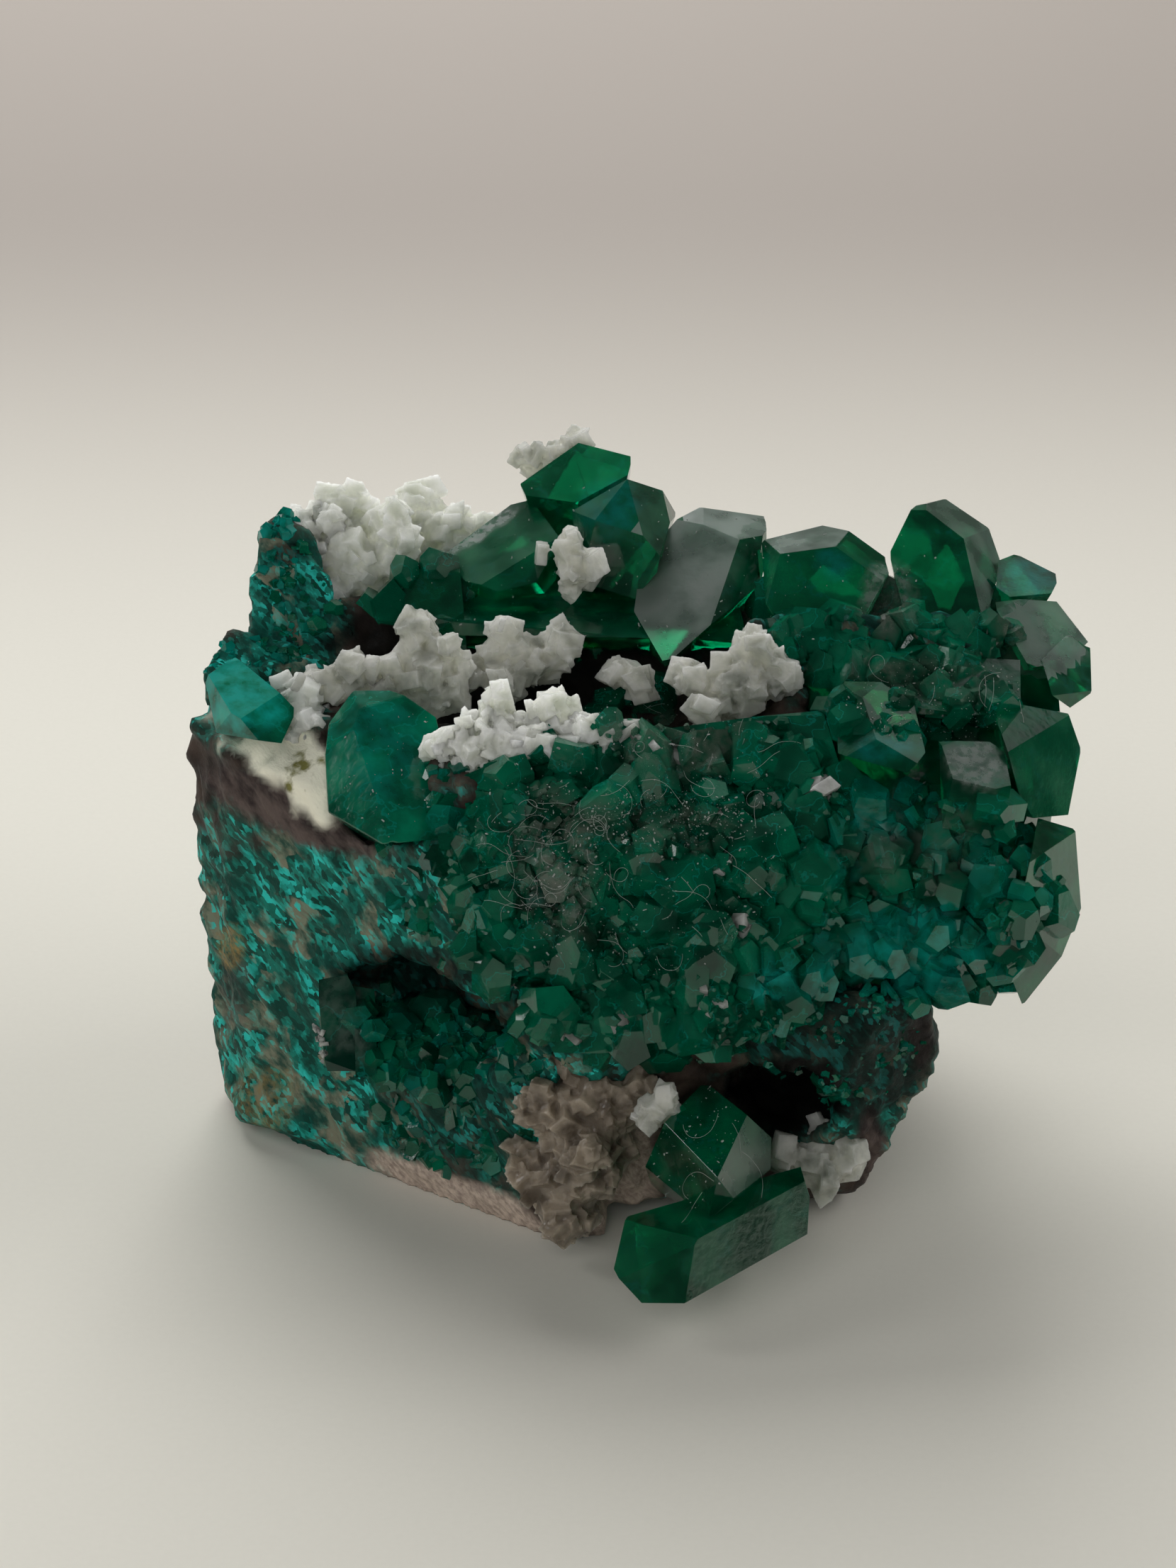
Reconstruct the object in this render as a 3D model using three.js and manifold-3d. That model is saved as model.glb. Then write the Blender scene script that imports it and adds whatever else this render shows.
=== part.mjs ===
// A hand specimen of dioptase: green prisms and a druse of small crystals on a lump of copper-stained
// rock, with sprays of white calcite in the open hollow on top and under the front ledge.
// Millimetres, +Z up. The origin is on the resting face, below the middle of the specimen.
import * as THREE from "three";
import { ConvexGeometry } from "three/addons/geometries/ConvexGeometry.js";
import { ImprovedNoise } from "three/addons/math/ImprovedNoise.js";
import { mergeVertices } from "three/addons/utils/BufferGeometryUtils.js";
import Module from "manifold-3d";

const wasm = await Module();
wasm.setup();

// Driving dimensions, in millimetres and degrees
const VIEW_TILT = 27; // how far the front view looks down on the specimen
const VIEW_DISTANCE = 240; // from the eye to the middle of the specimen
const MIDDLE_HEIGHT = 21.2; // of the specimen's middle above its resting face
const SEAT_GAP = 0.3; // between a crystal and the seat that it grew in
const END_TILT = 51; // of a dioptase end face's normal from the prism's long axis, in degrees
const CALCITE_LEAN = 0.27; // sideways shear of a calcite rhomb for each millimetre of its height
const FACE_SPREAD = 24; // facets of a hull whose normals differ by less than this are one face, in degrees
const CRYSTAL_RELIEF = 0.14; // relief lower than this is smoothed away on the crystals
const ROCK_RELIEF = 0.24; // and on the rock, less than the gap that its seats keep

// Proportions: shares of a lump's half size, of a tuft's half width and height, and of a crystal's radius
const BREAK = { nearest: 0.82, corner: 1.12, wander: 0.4, bumps: 4 };
const TUFT = { coreWide: 0.72, coreHigh: 0.66, rootsWide: 0.5, rootsHigh: 0.45, wander: 0.3, rise: 0.5 };
const BLADE = { width: [0.6, 1], height: [0.5, 0.8], thick: 0.5 };
const DRUSE_CRYSTAL = { above: 0.9, length: 2.4, lean: 0.7, wander: 0.4 };

const { seededRandom, degToRad, lerp } = THREE.MathUtils;
const noise = new ImprovedNoise();
const UPRIGHT = new THREE.Vector3(0, 0, 1);

// The front view's frame, which is right, up and toward the eye, stood on the resting face
const STAND = new THREE.Matrix4()
  .makeRotationX(degToRad(90 - VIEW_TILT))
  .setPosition(0, 0, MIDDLE_HEIGHT);

// The point seen at `right` and `up` in the front view, `toward` nearer the eye than the middle
function seen([right, up, toward]) {
  const shrink = 1 - toward / VIEW_DISTANCE;
  return new THREE.Vector3(right * shrink, up * shrink, toward).applyMatrix4(STAND);
}

// A direction given in the front view
function heading([right, up, toward]) {
  return new THREE.Vector3(right, up, toward).transformDirection(STAND);
}

// A random number between low and high, repeatable from the last seed
function between(low, high) {
  return lerp(low, high, seededRandom());
}

// A closed geometry as a solid for cutting and joining
function solidOf(geometry) {
  geometry.deleteAttribute("normal");
  geometry.deleteAttribute("uv");
  const merged = mergeVertices(geometry, 1e-5);
  const vertProperties = merged.attributes.position.array;
  const triVerts = new Uint32Array(merged.index.array);
  return new wasm.Manifold(new wasm.Mesh({ numProp: 3, vertProperties, triVerts }));
}

// The geometry of a solid
function geometryOf(solid) {
  const { vertProperties, triVerts } = solid.getMesh();
  return new THREE.BufferGeometry()
    .setAttribute("position", new THREE.BufferAttribute(vertProperties, 3))
    .setIndex(new THREE.BufferAttribute(triVerts, 1));
}

// Where a crystal stands: its own +Z turned along the axis and spun about it
function placing(at, axis, spin) {
  const turn = new THREE.Quaternion().setFromUnitVectors(UPRIGHT, axis);
  turn.multiply(new THREE.Quaternion().setFromAxisAngle(UPRIGHT, degToRad(spin)));
  return new THREE.Matrix4().compose(at, turn, new THREE.Vector3(1, 1, 1)).elements;
}

// Every shape below is a function of how far it is grown: 0 as it stands, SEAT_GAP for its seat

// The planes of a hull, with its facets that nearly lie in one plane taken together as one flat face
function facePlanes(points) {
  const hull = new ConvexGeometry(points).attributes.position;
  const facet = new THREE.Triangle();
  const facets = Array.from({ length: hull.count / 3 }, (_, i) => {
    facet.setFromAttributeAndIndices(hull, 3 * i, 3 * i + 1, 3 * i + 2);
    const normal = facet.getNormal(new THREE.Vector3());
    return { area: facet.getArea(), normal, middle: facet.getMidpoint(new THREE.Vector3()) };
  });
  const faces = [];
  for (const each of facets.sort((one, other) => other.area - one.area)) {
    const face = faces.find(([first]) => first.normal.angleTo(each.normal) < degToRad(FACE_SPREAD));
    if (face) face.push(each);
    else faces.push([each]);
  }
  return faces.map((parts) => {
    const normal = new THREE.Vector3();
    parts.forEach((part) => normal.addScaledVector(part.normal, part.area));
    normal.normalize();
    const area = parts.reduce((sum, part) => sum + part.area, 0);
    return { normal, out: parts.reduce((sum, part) => sum + part.middle.dot(normal) * part.area, 0) / area };
  });
}

// A flat-faced body that follows the corners which the front view shows and the ones behind them
function faceted(corners) {
  const points = corners.map(seen);
  const planes = facePlanes(points);
  const bounds = new THREE.Box3().setFromPoints(points);
  return (grow) => {
    const size = bounds.getSize(new THREE.Vector3()).addScalar(2 * grow);
    const block = new THREE.BoxGeometry(...size).translate(...bounds.getCenter(new THREE.Vector3()));
    return planes.reduce((rest, { normal, out }) => {
      return rest.trimByPlane(normal.clone().negate().toArray(), -out - grow);
    }, solidOf(block));
  };
}

// A small six-sided prism whose free end has the three steep faces of dioptase, meeting at its tip
function prism({ tip, axis, spin, radius, length }) {
  const tilt = degToRad(END_TILT);
  return (grow) => {
    const corner = radius + grow / Math.cos(Math.PI / 6);
    const body = new THREE.CylinderGeometry(corner, corner, length + 2 * grow, 6)
      .rotateX(Math.PI / 2)
      .translate(0, 0, -length / 2);
    const crystal = [30, 150, 270].map(degToRad).reduce((rest, around) => {
      const inward = new THREE.Vector3().setFromSphericalCoords(1, Math.PI - tilt, around);
      return rest.trimByPlane([inward.z, inward.x, inward.y], -grow);
    }, solidOf(body));
    return crystal.transform(placing(tip, axis, spin));
  };
}

// A flat calcite rhomb, leaning from its root
function rhomb({ root, axis, spin, width, height, thick }) {
  return (grow) => {
    const body = new THREE.BoxGeometry(width + 2 * grow, thick + 2 * grow, height + 2 * grow)
      .translate(0, 0, height / 2)
      .applyMatrix4(new THREE.Matrix4().makeShear(0, 0, 0, 0, CALCITE_LEAN, CALCITE_LEAN));
    return solidOf(body).transform(placing(root, axis, spin));
  };
}

// A broken lump: a ball cut back by flat fracture faces all round, then roughened
function lump({ at, size, facets = 18, rough = 0.06, detail, seed }) {
  return (grow) => {
    seededRandom(seed);
    const faces = Array.from({ length: facets }, (_, i) => {
      const height = 1 - (2 * i + 1) / facets;
      const around = i * Math.PI * (3 - Math.sqrt(5)) + between(-BREAK.wander, BREAK.wander);
      const level = Math.sqrt(1 - height * height);
      const normal = new THREE.Vector3(level * Math.cos(around), level * Math.sin(around), height);
      return { normal, out: between(BREAK.nearest, 1) };
    });
    const ball = new THREE.IcosahedronGeometry(1, detail);
    const points = ball.attributes.position;
    const half = new THREE.Vector3(...size).addScalar(grow);
    const point = new THREE.Vector3();
    for (let i = 0; i < points.count; i++) {
      point.fromBufferAttribute(points, i).normalize();
      const cut = faces.map(({ normal, out }) => out / Math.max(0.2, point.dot(normal)));
      const [right, back, up] = point.clone().multiplyScalar(BREAK.bumps);
      const bump = 1 + rough * noise.noise(right + seed, back, up);
      point.multiplyScalar(Math.min(BREAK.corner, ...cut) * bump);
      points.setXYZ(i, ...point.multiply(half).add(new THREE.Vector3(...at)));
    }
    return solidOf(ball);
  };
}

// A tuft of calcite rhombs about a small core, spread over `half` its width and height in the front view
function spray({ at, half, count = 4, seed }) {
  const [wide, high] = half;
  const small = Math.min(wide, high);
  const middle = seen(at);
  const size = [TUFT.coreWide * wide, TUFT.coreHigh * high, TUFT.coreWide * high];
  const core = lump({ at: middle, size, detail: 0, seed });
  seededRandom(seed);
  const blades = Array.from({ length: count }, (_, i) => {
    const around = (2 * Math.PI * (i + between(-TUFT.wander, TUFT.wander))) / count;
    const [right, up] = [Math.cos(around), Math.sin(around)];
    const toRight = heading([1, 0, 0]).multiplyScalar(TUFT.rootsWide * right * wide);
    const toTop = heading([0, 1, 0]).multiplyScalar(TUFT.rootsHigh * up * high);
    const width = between(...BLADE.width) * small;
    return rhomb({
      root: middle.clone().add(toRight).add(toTop),
      axis: heading([right, TUFT.rise + up, between(TUFT.wander, 1)]),
      spin: between(0, 180),
      width,
      height: between(...BLADE.height) * small,
      thick: BLADE.thick * width,
    });
  });
  return [core, ...blades];
}

// Small dioptase crystals standing on a body wherever the front view sees it inside an oval
function druse({ base, middle, half, spacing, radius, seed }) {
  const ground = new THREE.Mesh(geometryOf(base(0)), new THREE.MeshBasicMaterial());
  const eye = seen([0, 0, VIEW_DISTANCE]);
  const crystals = [];
  const { above, length, lean, wander } = DRUSE_CRYSTAL;
  seededRandom(seed);
  for (let up = -half[1]; up <= half[1]; up += spacing) {
    for (let right = -half[0]; right <= half[0]; right += spacing) {
      const place = [right, up].map((even) => even + between(-wander, wander) * spacing);
      const size = between(...radius);
      const tilt = heading([between(-1, 1), between(-1, 1), between(-wander, 1)]).multiplyScalar(lean);
      const spin = between(0, 120);
      if (Math.hypot(place[0] / half[0], place[1] / half[1]) > 1) continue;
      const sight = seen([middle[0] + place[0], middle[1] + place[1], 0]).sub(eye).normalize();
      const [hit] = new THREE.Raycaster(eye, sight).intersectObject(ground);
      if (!hit) continue;
      const axis = hit.face.normal.clone().add(tilt).normalize();
      const tip = hit.point.clone().addScaledVector(axis, above * size);
      crystals.push(prism({ tip, axis, spin, radius: size, length: length * size }));
    }
  }
  return crystals;
}

// Matrix: the broken blocks of country rock in the front view, and the rounder rock behind them
const LEFT_BLOCK = faceted([
  [-19.6, 2, 1.2], [-19.2, -10, -2.5], [-18.6, -18.4, -6.4], [-16, -20.8, -5.5], [-7.6, -23.4, -0.8],
  [-0.5, -25.4, 3.2], [-14, -1, 6], [-7.6, -3, 8.6], [-2.8, -13.8, 7.6], [-22, 3.6, -2], [-22.4, -2, -3],
  [-21, -11.6, -7], [-20.2, -16.8, -11], [-20, 5.5, -3], [-15, 3.4, 3.5], [-5.2, 0.6, 7.5], [-5, 4, -8],
  [-18, 4, -12], [-17, -12, -18], [2, -16, -10],
]);
const LEFT_SHOULDER = faceted([
  [-21.6, 6.4, -1.5], [-20.4, 8.4, -3], [-18, 8.2, -3], [-13, 6.5, -2], [-13, 7, -12], [-19, 5, -12],
  [-20.5, 1, -1.5], [-14, 0, -1], [-18, 0, -12],
]);
const PINNACLE = faceted([
  [-18.8, 7, -3], [-13.6, 7, -3], [-18.4, 14.4, -5], [-17.2, 15.2, -6], [-15.6, 13, -4.5],
  [-14, 9.5, -3], [-18, 14, -9], [-16, 13.4, -9.5], [-19, 4, -10], [-13, 4, -10],
]);
const BACK_LEFT = faceted([
  [-15, 10.4, -5], [-9, 10.4, -5.5], [-9, 7, -3], [-15, 7, -3.5], [-15, 9, -11], [-8, 9, -11],
  [-14, 2, -10], [-8, 2, -10],
]);
const CREST_BLOCK = faceted([
  [8.6, 9.2, 0], [18, 9.2, 0.4], [22.6, 9, -0.6], [24.4, 7, -6], [10, 7, 1.6], [18, 6, 2], [22, 6, 1],
  [8, 7, -12], [20, 8, -11], [24, 2, -8], [8, 0, -8], [22, 0, -6], [16, -5, -12],
]);
const FRONT_BLOCK = faceted([
  [-5.5, 0.5, 7.2], [2, 1.6, 6], [10, 2.4, 4.5], [12, -4, 8], [2, -4, 9.5], [-4, -6, 9], [-2, -13.4, 8.6],
  [6, -14, 9], [12, -12, 8], [0, -24, 2], [10, -22, 0], [14, -16, 4], [0, 0, -8], [12, 2, -8],
]);
const RIGHT_BLOCK = faceted([
  [9, -12, 8.5], [16.6, -11.5, 8.5], [19.4, -12.8, 5], [19, -16, 4], [16.4, -19.6, 3], [15.2, -23, 0],
  [12, -23.4, 0.5], [9.4, -16, 7], [13.5, -18, 7], [18, -14, -8], [12, -22, -8], [8, -12, -8],
]);
const ROCK = [
  LEFT_BLOCK,
  LEFT_SHOULDER,
  PINNACLE,
  BACK_LEFT,
  FRONT_BLOCK,
  RIGHT_BLOCK,
  CREST_BLOCK,
  lump({ at: [0, 4, 11.4], size: [20.5, 14.5, 15], detail: 3, seed: 11 }),
  lump({ at: [13.5, 3.5, 14.5], size: [10.5, 11.5, 12], detail: 3, seed: 14 }),
  lump({ at: [2, 11.5, 20], size: [20.5, 7.5, 9], detail: 3, seed: 15 }),
];
const HOLLOWS = [
  lump({ at: [-2, 4.2, 27.4], size: [12, 5.6, 6], detail: 2, rough: 0.12, seed: 21 }),
  lump({ at: [-9, -9, 11.3], size: [6.2, 7.4, 3.6], detail: 2, rough: 0.12, seed: 22 }),
  lump({ at: seen([11.2, -17.4, 5]), size: [3.6, 4, 2.8], detail: 2, rough: 0.12, seed: 23 }),
];

// Dioptase along the back rim of the hollow
const RIDGE = {
  base: [
    [-10, 9, -3], [-2, 10, -4], [4, 8, -2], [9, 8, -2.5], [8, 12, -9], [0, 13.5, -10], [-7, 11, -9],
    [-4, 9, -2.5], [0, 8, -12], [8, 7, -11], [-8, 7, -10],
  ],
  peak: [
    [-3.8, 16.8, -8.5], [-0.7, 19.2, -9.5], [2.4, 18.5, -8.5], [2.3, 17.3, -7.5], [-0.5, 16, -6.5],
    [-3.5, 16.2, -7.5], [-2.5, 13, -12], [-0.5, 17.5, -13], [2.2, 16, -12.5], [1, 12, -11],
  ],
  belowPeak: [
    [2.2, 17.2, -6.5], [-0.9, 15.4, -6], [0.4, 14.9, -4.5], [3.1, 14, -4], [4.6, 14.7, -6.5],
    [4.3, 16.4, -8.5], [4, 12.6, -4], [2.8, 10.4, -4.5], [-0.4, 11.4, -5], [5, 15.2, -10], [1, 11, -11],
  ],
  leftRim: [
    [-8, 12.6, -6.5], [-6.8, 14, -8], [-3.4, 15.6, -9], [-2.4, 15.2, -7], [-7.6, 12.2, -5],
    [-1.6, 13.8, -5], [-2.8, 11.6, -3.5], [-5, 10.8, -3], [-6.8, 11.4, -4], [-3, 12, -11], [-6, 9, -9],
    [-2, 10, -8],
  ],
  leftEnd: [
    [-10.4, 11, -4.5], [-9.2, 12.2, -5.5], [-7.6, 12.2, -5], [-7.2, 11, -3.5], [-6.8, 9.4, -3],
    [-7.2, 7, -3], [-9.2, 7.8, -2.5], [-10.2, 9, -3.5], [-9, 9, -9], [-7, 9, -9],
  ],
  etched: [
    [5.2, 14.9, -7], [6.2, 15.6, -8.5], [10, 15.1, -8.5], [10, 14, -6.5], [8.8, 13.9, -5], [9.4, 11, -4],
    [6.8, 9, -2], [4.4, 6.6, -1], [3.6, 8, -1.5], [2.6, 9.8, -3.5], [3, 12.2, -6], [4.6, 13.6, -6.5],
    [9.9, 11.2, -6], [8, 9, -11], [3, 8, -9],
  ],
};
const CREST_MIDDLE = faceted([
  [9.8, 13.6, -5], [13.2, 14.7, -6], [15, 14, -5], [17.2, 12.5, -4], [15.4, 8.8, -1], [14.8, 8.2, -1],
  [11.2, 8.4, -0.5], [10, 10.2, -1.5], [13.8, 13.4, -2.5], [10.6, 13, -3], [16.6, 11.6, -2.5],
  [13, 11, -10], [16, 9, -9], [10.5, 8, -8],
]);
const CREST_RIGHT = faceted([
  [17.1, 12.6, -3.5], [18.4, 15.7, -6], [19, 15.8, -6], [20.2, 16.1, -8], [22.6, 14.4, -7.5],
  [23.3, 12.4, -6.5], [21.1, 13.8, -4], [21.2, 12.8, -3.5], [22.4, 9, -2], [21.2, 8.2, -1.5],
  [18.2, 8.2, -1.5], [17.6, 10.6, -2.5], [20, 12, -11], [18, 8, -10], [22, 8, -9],
]);

// Dioptase of the left and the foot
const LEFT_FRONT = faceted([
  [-15, 3, 4], [-13.2, 5.3, 3], [-11.4, 5.3, 3], [-9.2, 4.2, 3.5], [-8, 2.2, 5], [-7.6, -1, 6.8],
  [-7.6, -3, 8], [-11.6, -3.4, 9.5], [-14, -2, 7.5], [-14.8, 1.4, 6], [-12.8, 4, 5.5], [-12, 2, -3],
  [-9, 0, -2], [-13, -3, 0],
]);
const LEFT_KNOB = faceted([
  [-21.6, 5.8, 2], [-20, 7, 1], [-18, 5.8, 2.5], [-16.6, 4, 3.5], [-17.2, 2.4, 5], [-18.6, 2.4, 5.5],
  [-20, 4.2, 5], [-21, 3, 3.5], [-19, 5, -3], [-20.5, 3, -2],
]);
const LOWER = [
  [
    [7.3, -22.2, 13], [6.6, -17, 6.9], [9, -18.6, 8.5], [4.6, -19.4, 10], [3, -21.4, 6.4],
    [6.8, -24.6, 11], [10.4, -20.2, 6.1], [10.2, -21.8, 7], [8.2, -23.4, 11.5], [6, -19, 1], [9, -19, 1],
    [4, -23, 2], [9, -23, 2],
  ],
  [
    [2.2, -24.4, 10.5], [1.4, -27.4, 12.5], [2, -28.2, 13], [5.4, -29.5, 14], [6, -25.8, 13.5],
    [12.2, -22.3, 8.5], [12.6, -23.6, 8.5], [12.2, -25.2, 8.5], [12, -21.6, 7], [4, -24.8, 11.5],
    [11, -22, 3], [4, -25.5, 6],
  ],
].map(faceted);

// Dioptase of the right end
const RIGHT = {
  base: [
    [12, 6, 0], [18, 7, -2], [24, 6, -3], [26, 0, 1], [26, -6, 2], [23.5, -11.5, 4], [19.5, -12.4, 5],
    [14, -10.5, 8], [15, -2, 8], [20, -6, 8.5], [24, -5, 7.5], [14, 4, 5], [16, 4, -8], [23, 2, -8],
    [20, -10, -4], [24, 9.6, -6], [26.4, 6, -4], [23.6, 9, -8],
  ],
  top: [
    [23.2, 12.4, -6], [24, 12.9, -6.5], [25.6, 12.3, -6], [26.4, 11.8, -5.5], [26.2, 10.6, -4.5],
    [23.8, 10.6, -3.5], [23, 11.2, -4], [25, 9, -9], [23.5, 7, -8],
  ],
  belowTop: [
    [23, 10.2, -3], [26.4, 10.4, -4.5], [28.2, 8, -3.5], [27, 6.8, -2], [25, 6.8, -0.5], [24, 8, -1],
    [27, 7, -8], [24, 6, -8],
  ],
  edge: [
    [27, 8.4, -3], [28.3, 7.8, -3], [28.4, 6.6, -2.5], [28.2, 5, -1.5], [27.2, 4.3, -1], [26.2, 5, 0],
    [25.6, 7, -1], [26, 6, -6],
  ],
  ledge: [
    [17, 7.2, 1], [24.4, 7, 0.5], [24.4, 4.4, 3], [22, 3.8, 4], [17.4, 4.2, 4.5], [17, 5.6, 4],
    [18, 6, -4], [24, 6, -4],
  ],
  shoulder: [
    [23, 4.8, 3], [24.8, 4.4, 3.5], [27, 4, 2], [27.8, 2.2, 2], [27.4, -0.2, 2.5], [26.9, -1.8, 3.5],
    [25, -1.6, 6], [24.2, -0.2, 7], [23.8, 2, 7], [23.2, 3, 6], [26, 1, -4], [23, 1, -2],
  ],
  pale: [
    [19.8, 2.4, 6.5], [22.8, 2.4, 6], [23.4, 1.8, 6.5], [23.9, -0.2, 8.5], [23, -0.4, 9], [20.6, 0.4, 9],
    [20, -2.5, 8.5], [23.4, -3, 8.5], [22, -1, 2], [20, 1, 2],
  ],
  turquoise: [
    [14, 3.8, 6.5], [14.8, 5.8, 4], [16.6, 5.6, 4], [18.4, 4.6, 5], [19, 1.8, 8], [18, 0.6, 9.5],
    [15.4, 1.4, 9], [14.4, 2.2, 8], [16.4, 3, 8.5], [16, 2, 1], [18, 2, 1],
  ],
  lower: [
    [25, -1.8, 5.5], [27, -2.4, 5], [27.3, -3.4, 4.5], [27.9, -6.2, 4], [27.8, -7.2, 4], [27, -9, 4.5],
    [25.8, -11, 5], [24.4, -12.2, 5.5], [23.6, -10.2, 8.5], [24.8, -7.4, 9.5], [25.4, -4, 8.5],
    [25, -6, -1], [23.5, -10, 1],
  ],
  lowerFront: [
    [23, -6.4, 9.5], [25.6, -6.2, 8.5], [25.4, -7.6, 10], [23.8, -7.8, 10.5], [22.8, -9.6, 9.5],
    [24, -10, 8.5], [23.5, -7, 4],
  ],
};
const RIGHT_BASE = faceted(RIGHT.base);
const RIGHT_DRUSE = {
  base: RIGHT_BASE,
  middle: [19.4, -5.6],
  half: [5, 5.6],
  spacing: 2.8,
  radius: [1, 2],
  seed: 42,
};

// Dioptase of the front slope and of the cavity below it
const DRUSE_BASE = faceted([
  [-7, -4, 9], [-5.4, -9, 9.4], [-1.5, -14, 9.8], [-4.8, 1, 7.6], [1.5, 2.6, 6.2], [7, 3.8, 5.2],
  [12, 3.6, 4.6], [3, -3, 10.6], [9, -4, 10.6], [4, -9, 11.2], [3, -15.2, 9.8], [7.5, -15, 9.8],
  [12, -12.6, 9.2], [14.5, -2, 8.6], [15, -8, 9], [0, -1, 1], [10, 0, 1], [2, -10, 3], [10, -9, 3],
]);
const DRUSE = {
  base: DRUSE_BASE,
  middle: [4, -5.6],
  half: [11.6, 10.2],
  spacing: 2.9,
  radius: [1, 2.1],
  seed: 52,
};
const CAVITY = [
  lump({ at: [-9, -6, 8], size: [5.4, 4.6, 1.6], detail: 1, seed: 61 }),
  lump({ at: seen([-8.6, -12.8, -0.5]), size: [1.7, 1.6, 1.5], detail: 1, seed: 62 }),
  faceted([
    [-15, -11, 3.2], [-13.6, -10.8, 2.6], [-13, -12, 2.8], [-13, -16.2, 3], [-14.6, -16.2, 3],
    [-15.2, -13.8, 3.4], [-13.5, -12, -2], [-13, -15, -2],
  ]),
  faceted([
    [-13.2, -11.4, 1.5], [-12, -11.6, 1], [-12, -13.8, 1.5], [-13, -14, 2], [-12.5, -12, -3],
    [-12, -16, -3],
  ]),
  faceted([
    [-13, -13.8, 3.6], [-11.9, -13.8, 3.4], [-12, -16.4, 3.8], [-13.2, -16.6, 4], [-12.5, -14, -1],
    [-12, -16.5, -2],
  ]),
  faceted([
    [-11.8, -13.8, 2.4], [-10.4, -13.4, 2], [-10, -14.6, 2.6], [-10.4, -16, 3.2], [-11.8, -16.4, 3.4],
    [-11, -14, -2], [-11, -17, -2],
  ]),
];

// The crystals, those that keep their ground first: each later one is cut back where they meet
const CRYSTALS = {
  dioptase: {
    lower_crystals: LOWER,
    left_front_crystal: [LEFT_FRONT],
    left_knob_crystal: [LEFT_KNOB],
    crest_crystal_right: [CREST_RIGHT],
    crest_crystal_middle: [CREST_MIDDLE],
    ridge_crystals: Object.values(RIDGE).map(faceted),
    right_cluster: [...Object.values(RIGHT).map(faceted), ...druse(RIGHT_DRUSE)],
  },
  calcite: {
    calcite_rim: [
      ...spray({ at: [-5.6, 2.4, 6.4], half: [3.8, 2.3], seed: 71 }),
      ...spray({ at: [-1.2, 2.6, 6.2], half: [3.2, 2.1], seed: 72 }),
    ],
    calcite_centre: spray({ at: [8.6, 5.6, 2], half: [3.2, 3], seed: 73 }),
    calcite_vug_mass: spray({ at: [-3.8, 6.8, -1.5], half: [3.9, 2.7], seed: 74 }),
    calcite_vug_tuft: spray({ at: [2.3, 6, -0.5], half: [1.8, 1.3], seed: 75 }),
    calcite_vug_spire: spray({ at: [-9.4, 6.2, 0], half: [2.8, 3], seed: 76 }),
    calcite_left_rim: [
      ...spray({ at: [-12.8, 6, 0.5], half: [2.2, 1.5], seed: 77 }),
      ...spray({ at: [-15.4, 5.4, 1], half: [1.8, 1.3], seed: 85 }),
    ],
    calcite_ridge: spray({ at: [-0.9, 12.4, -3.4], half: [1.6, 3.4], seed: 78 }),
    calcite_crest: spray({ at: [-1.4, 18, -11], half: [2.2, 2.4], seed: 79 }),
    calcite_left_peak: spray({ at: [-13.4, 12.4, -8], half: [3.8, 3.6], seed: 80 }),
    calcite_back: spray({ at: [-8.4, 14, -10.5], half: [4.4, 2.8], seed: 81 }),
    calcite_base: [
      ...spray({ at: [0.4, -18.2, 6], half: [3.8, 3.4], seed: 82 }),
      ...spray({ at: [-1, -22.4, 5.5], half: [4, 3], seed: 86 }),
    ],
    calcite_lower_right: spray({ at: [13.2, -21.2, 3], half: [2.3, 2.4], seed: 83 }),
    calcite_sprig: spray({ at: [4, -18.6, 9], half: [1.3, 1.6], count: 5, seed: 84 }),
  },
  crusts: {
    cavity_crust: CAVITY,
    front_druse: [DRUSE_BASE, ...druse(DRUSE)],
  },
};

const GREEN = { color: 0x0c5f48, roughness: 0.15, metalness: 0 };
const FINISHES = {
  matrix: new THREE.MeshStandardMaterial({ color: 0x4f7f78, roughness: 0.85, metalness: 0 }),
  dioptase: new THREE.MeshStandardMaterial(GREEN),
  crusts: new THREE.MeshStandardMaterial({ ...GREEN, roughness: 0.3 }),
  calcite: new THREE.MeshStandardMaterial({ color: 0xd8d8d2, roughness: 0.45, metalness: 0 }),
};

// Shapes joined in one solid, all grown alike
function joined(shapes, grow = 0) {
  return wasm.Manifold.union(shapes.map((shape) => shape(grow)));
}

// The largest body of a solid, without the crumbs that a cut leaves, standing on the resting face
function finished(solid, relief) {
  const smooth = solid.simplify(relief).trimByPlane([0, 0, 1], 0);
  return smooth.decompose().reduce((most, body) => (body.volume() > most.volume() ? body : most));
}

function piece(name, finish, solid) {
  const mesh = new THREE.Mesh(geometryOf(solid), FINISHES[finish]);
  mesh.name = name;
  return mesh;
}

const specimen = new THREE.Group();
let seats = wasm.Manifold.union([]);
for (const [finish, pieces] of Object.entries(CRYSTALS)) {
  const kind = new THREE.Group();
  for (const [name, shapes] of Object.entries(pieces)) {
    kind.add(piece(name, finish, finished(joined(shapes).subtract(seats), CRYSTAL_RELIEF)));
    seats = seats.add(joined(shapes, SEAT_GAP));
  }
  specimen.add(kind);
}
const rock = joined(ROCK).subtract(joined(HOLLOWS)).subtract(seats);
specimen.add(piece("matrix", "matrix", finished(rock, ROCK_RELIEF)));

export default specimen;
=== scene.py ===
"""Looks of a dioptase specimen: green prisms, a druse and white calcite on copper-stained rock.

Lengths are millimetres until a mesh is made. A place is given as the front view shows it: millimetres to
the right of and above the middle of the picture.
"""
import logging
import math
from collections.abc import Iterable, Mapping
from dataclasses import dataclass, field
from enum import Enum
from typing import Any

import bmesh
import bpy
import numpy as np
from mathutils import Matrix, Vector, noise
from mathutils.bvhtree import BVHTree


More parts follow.
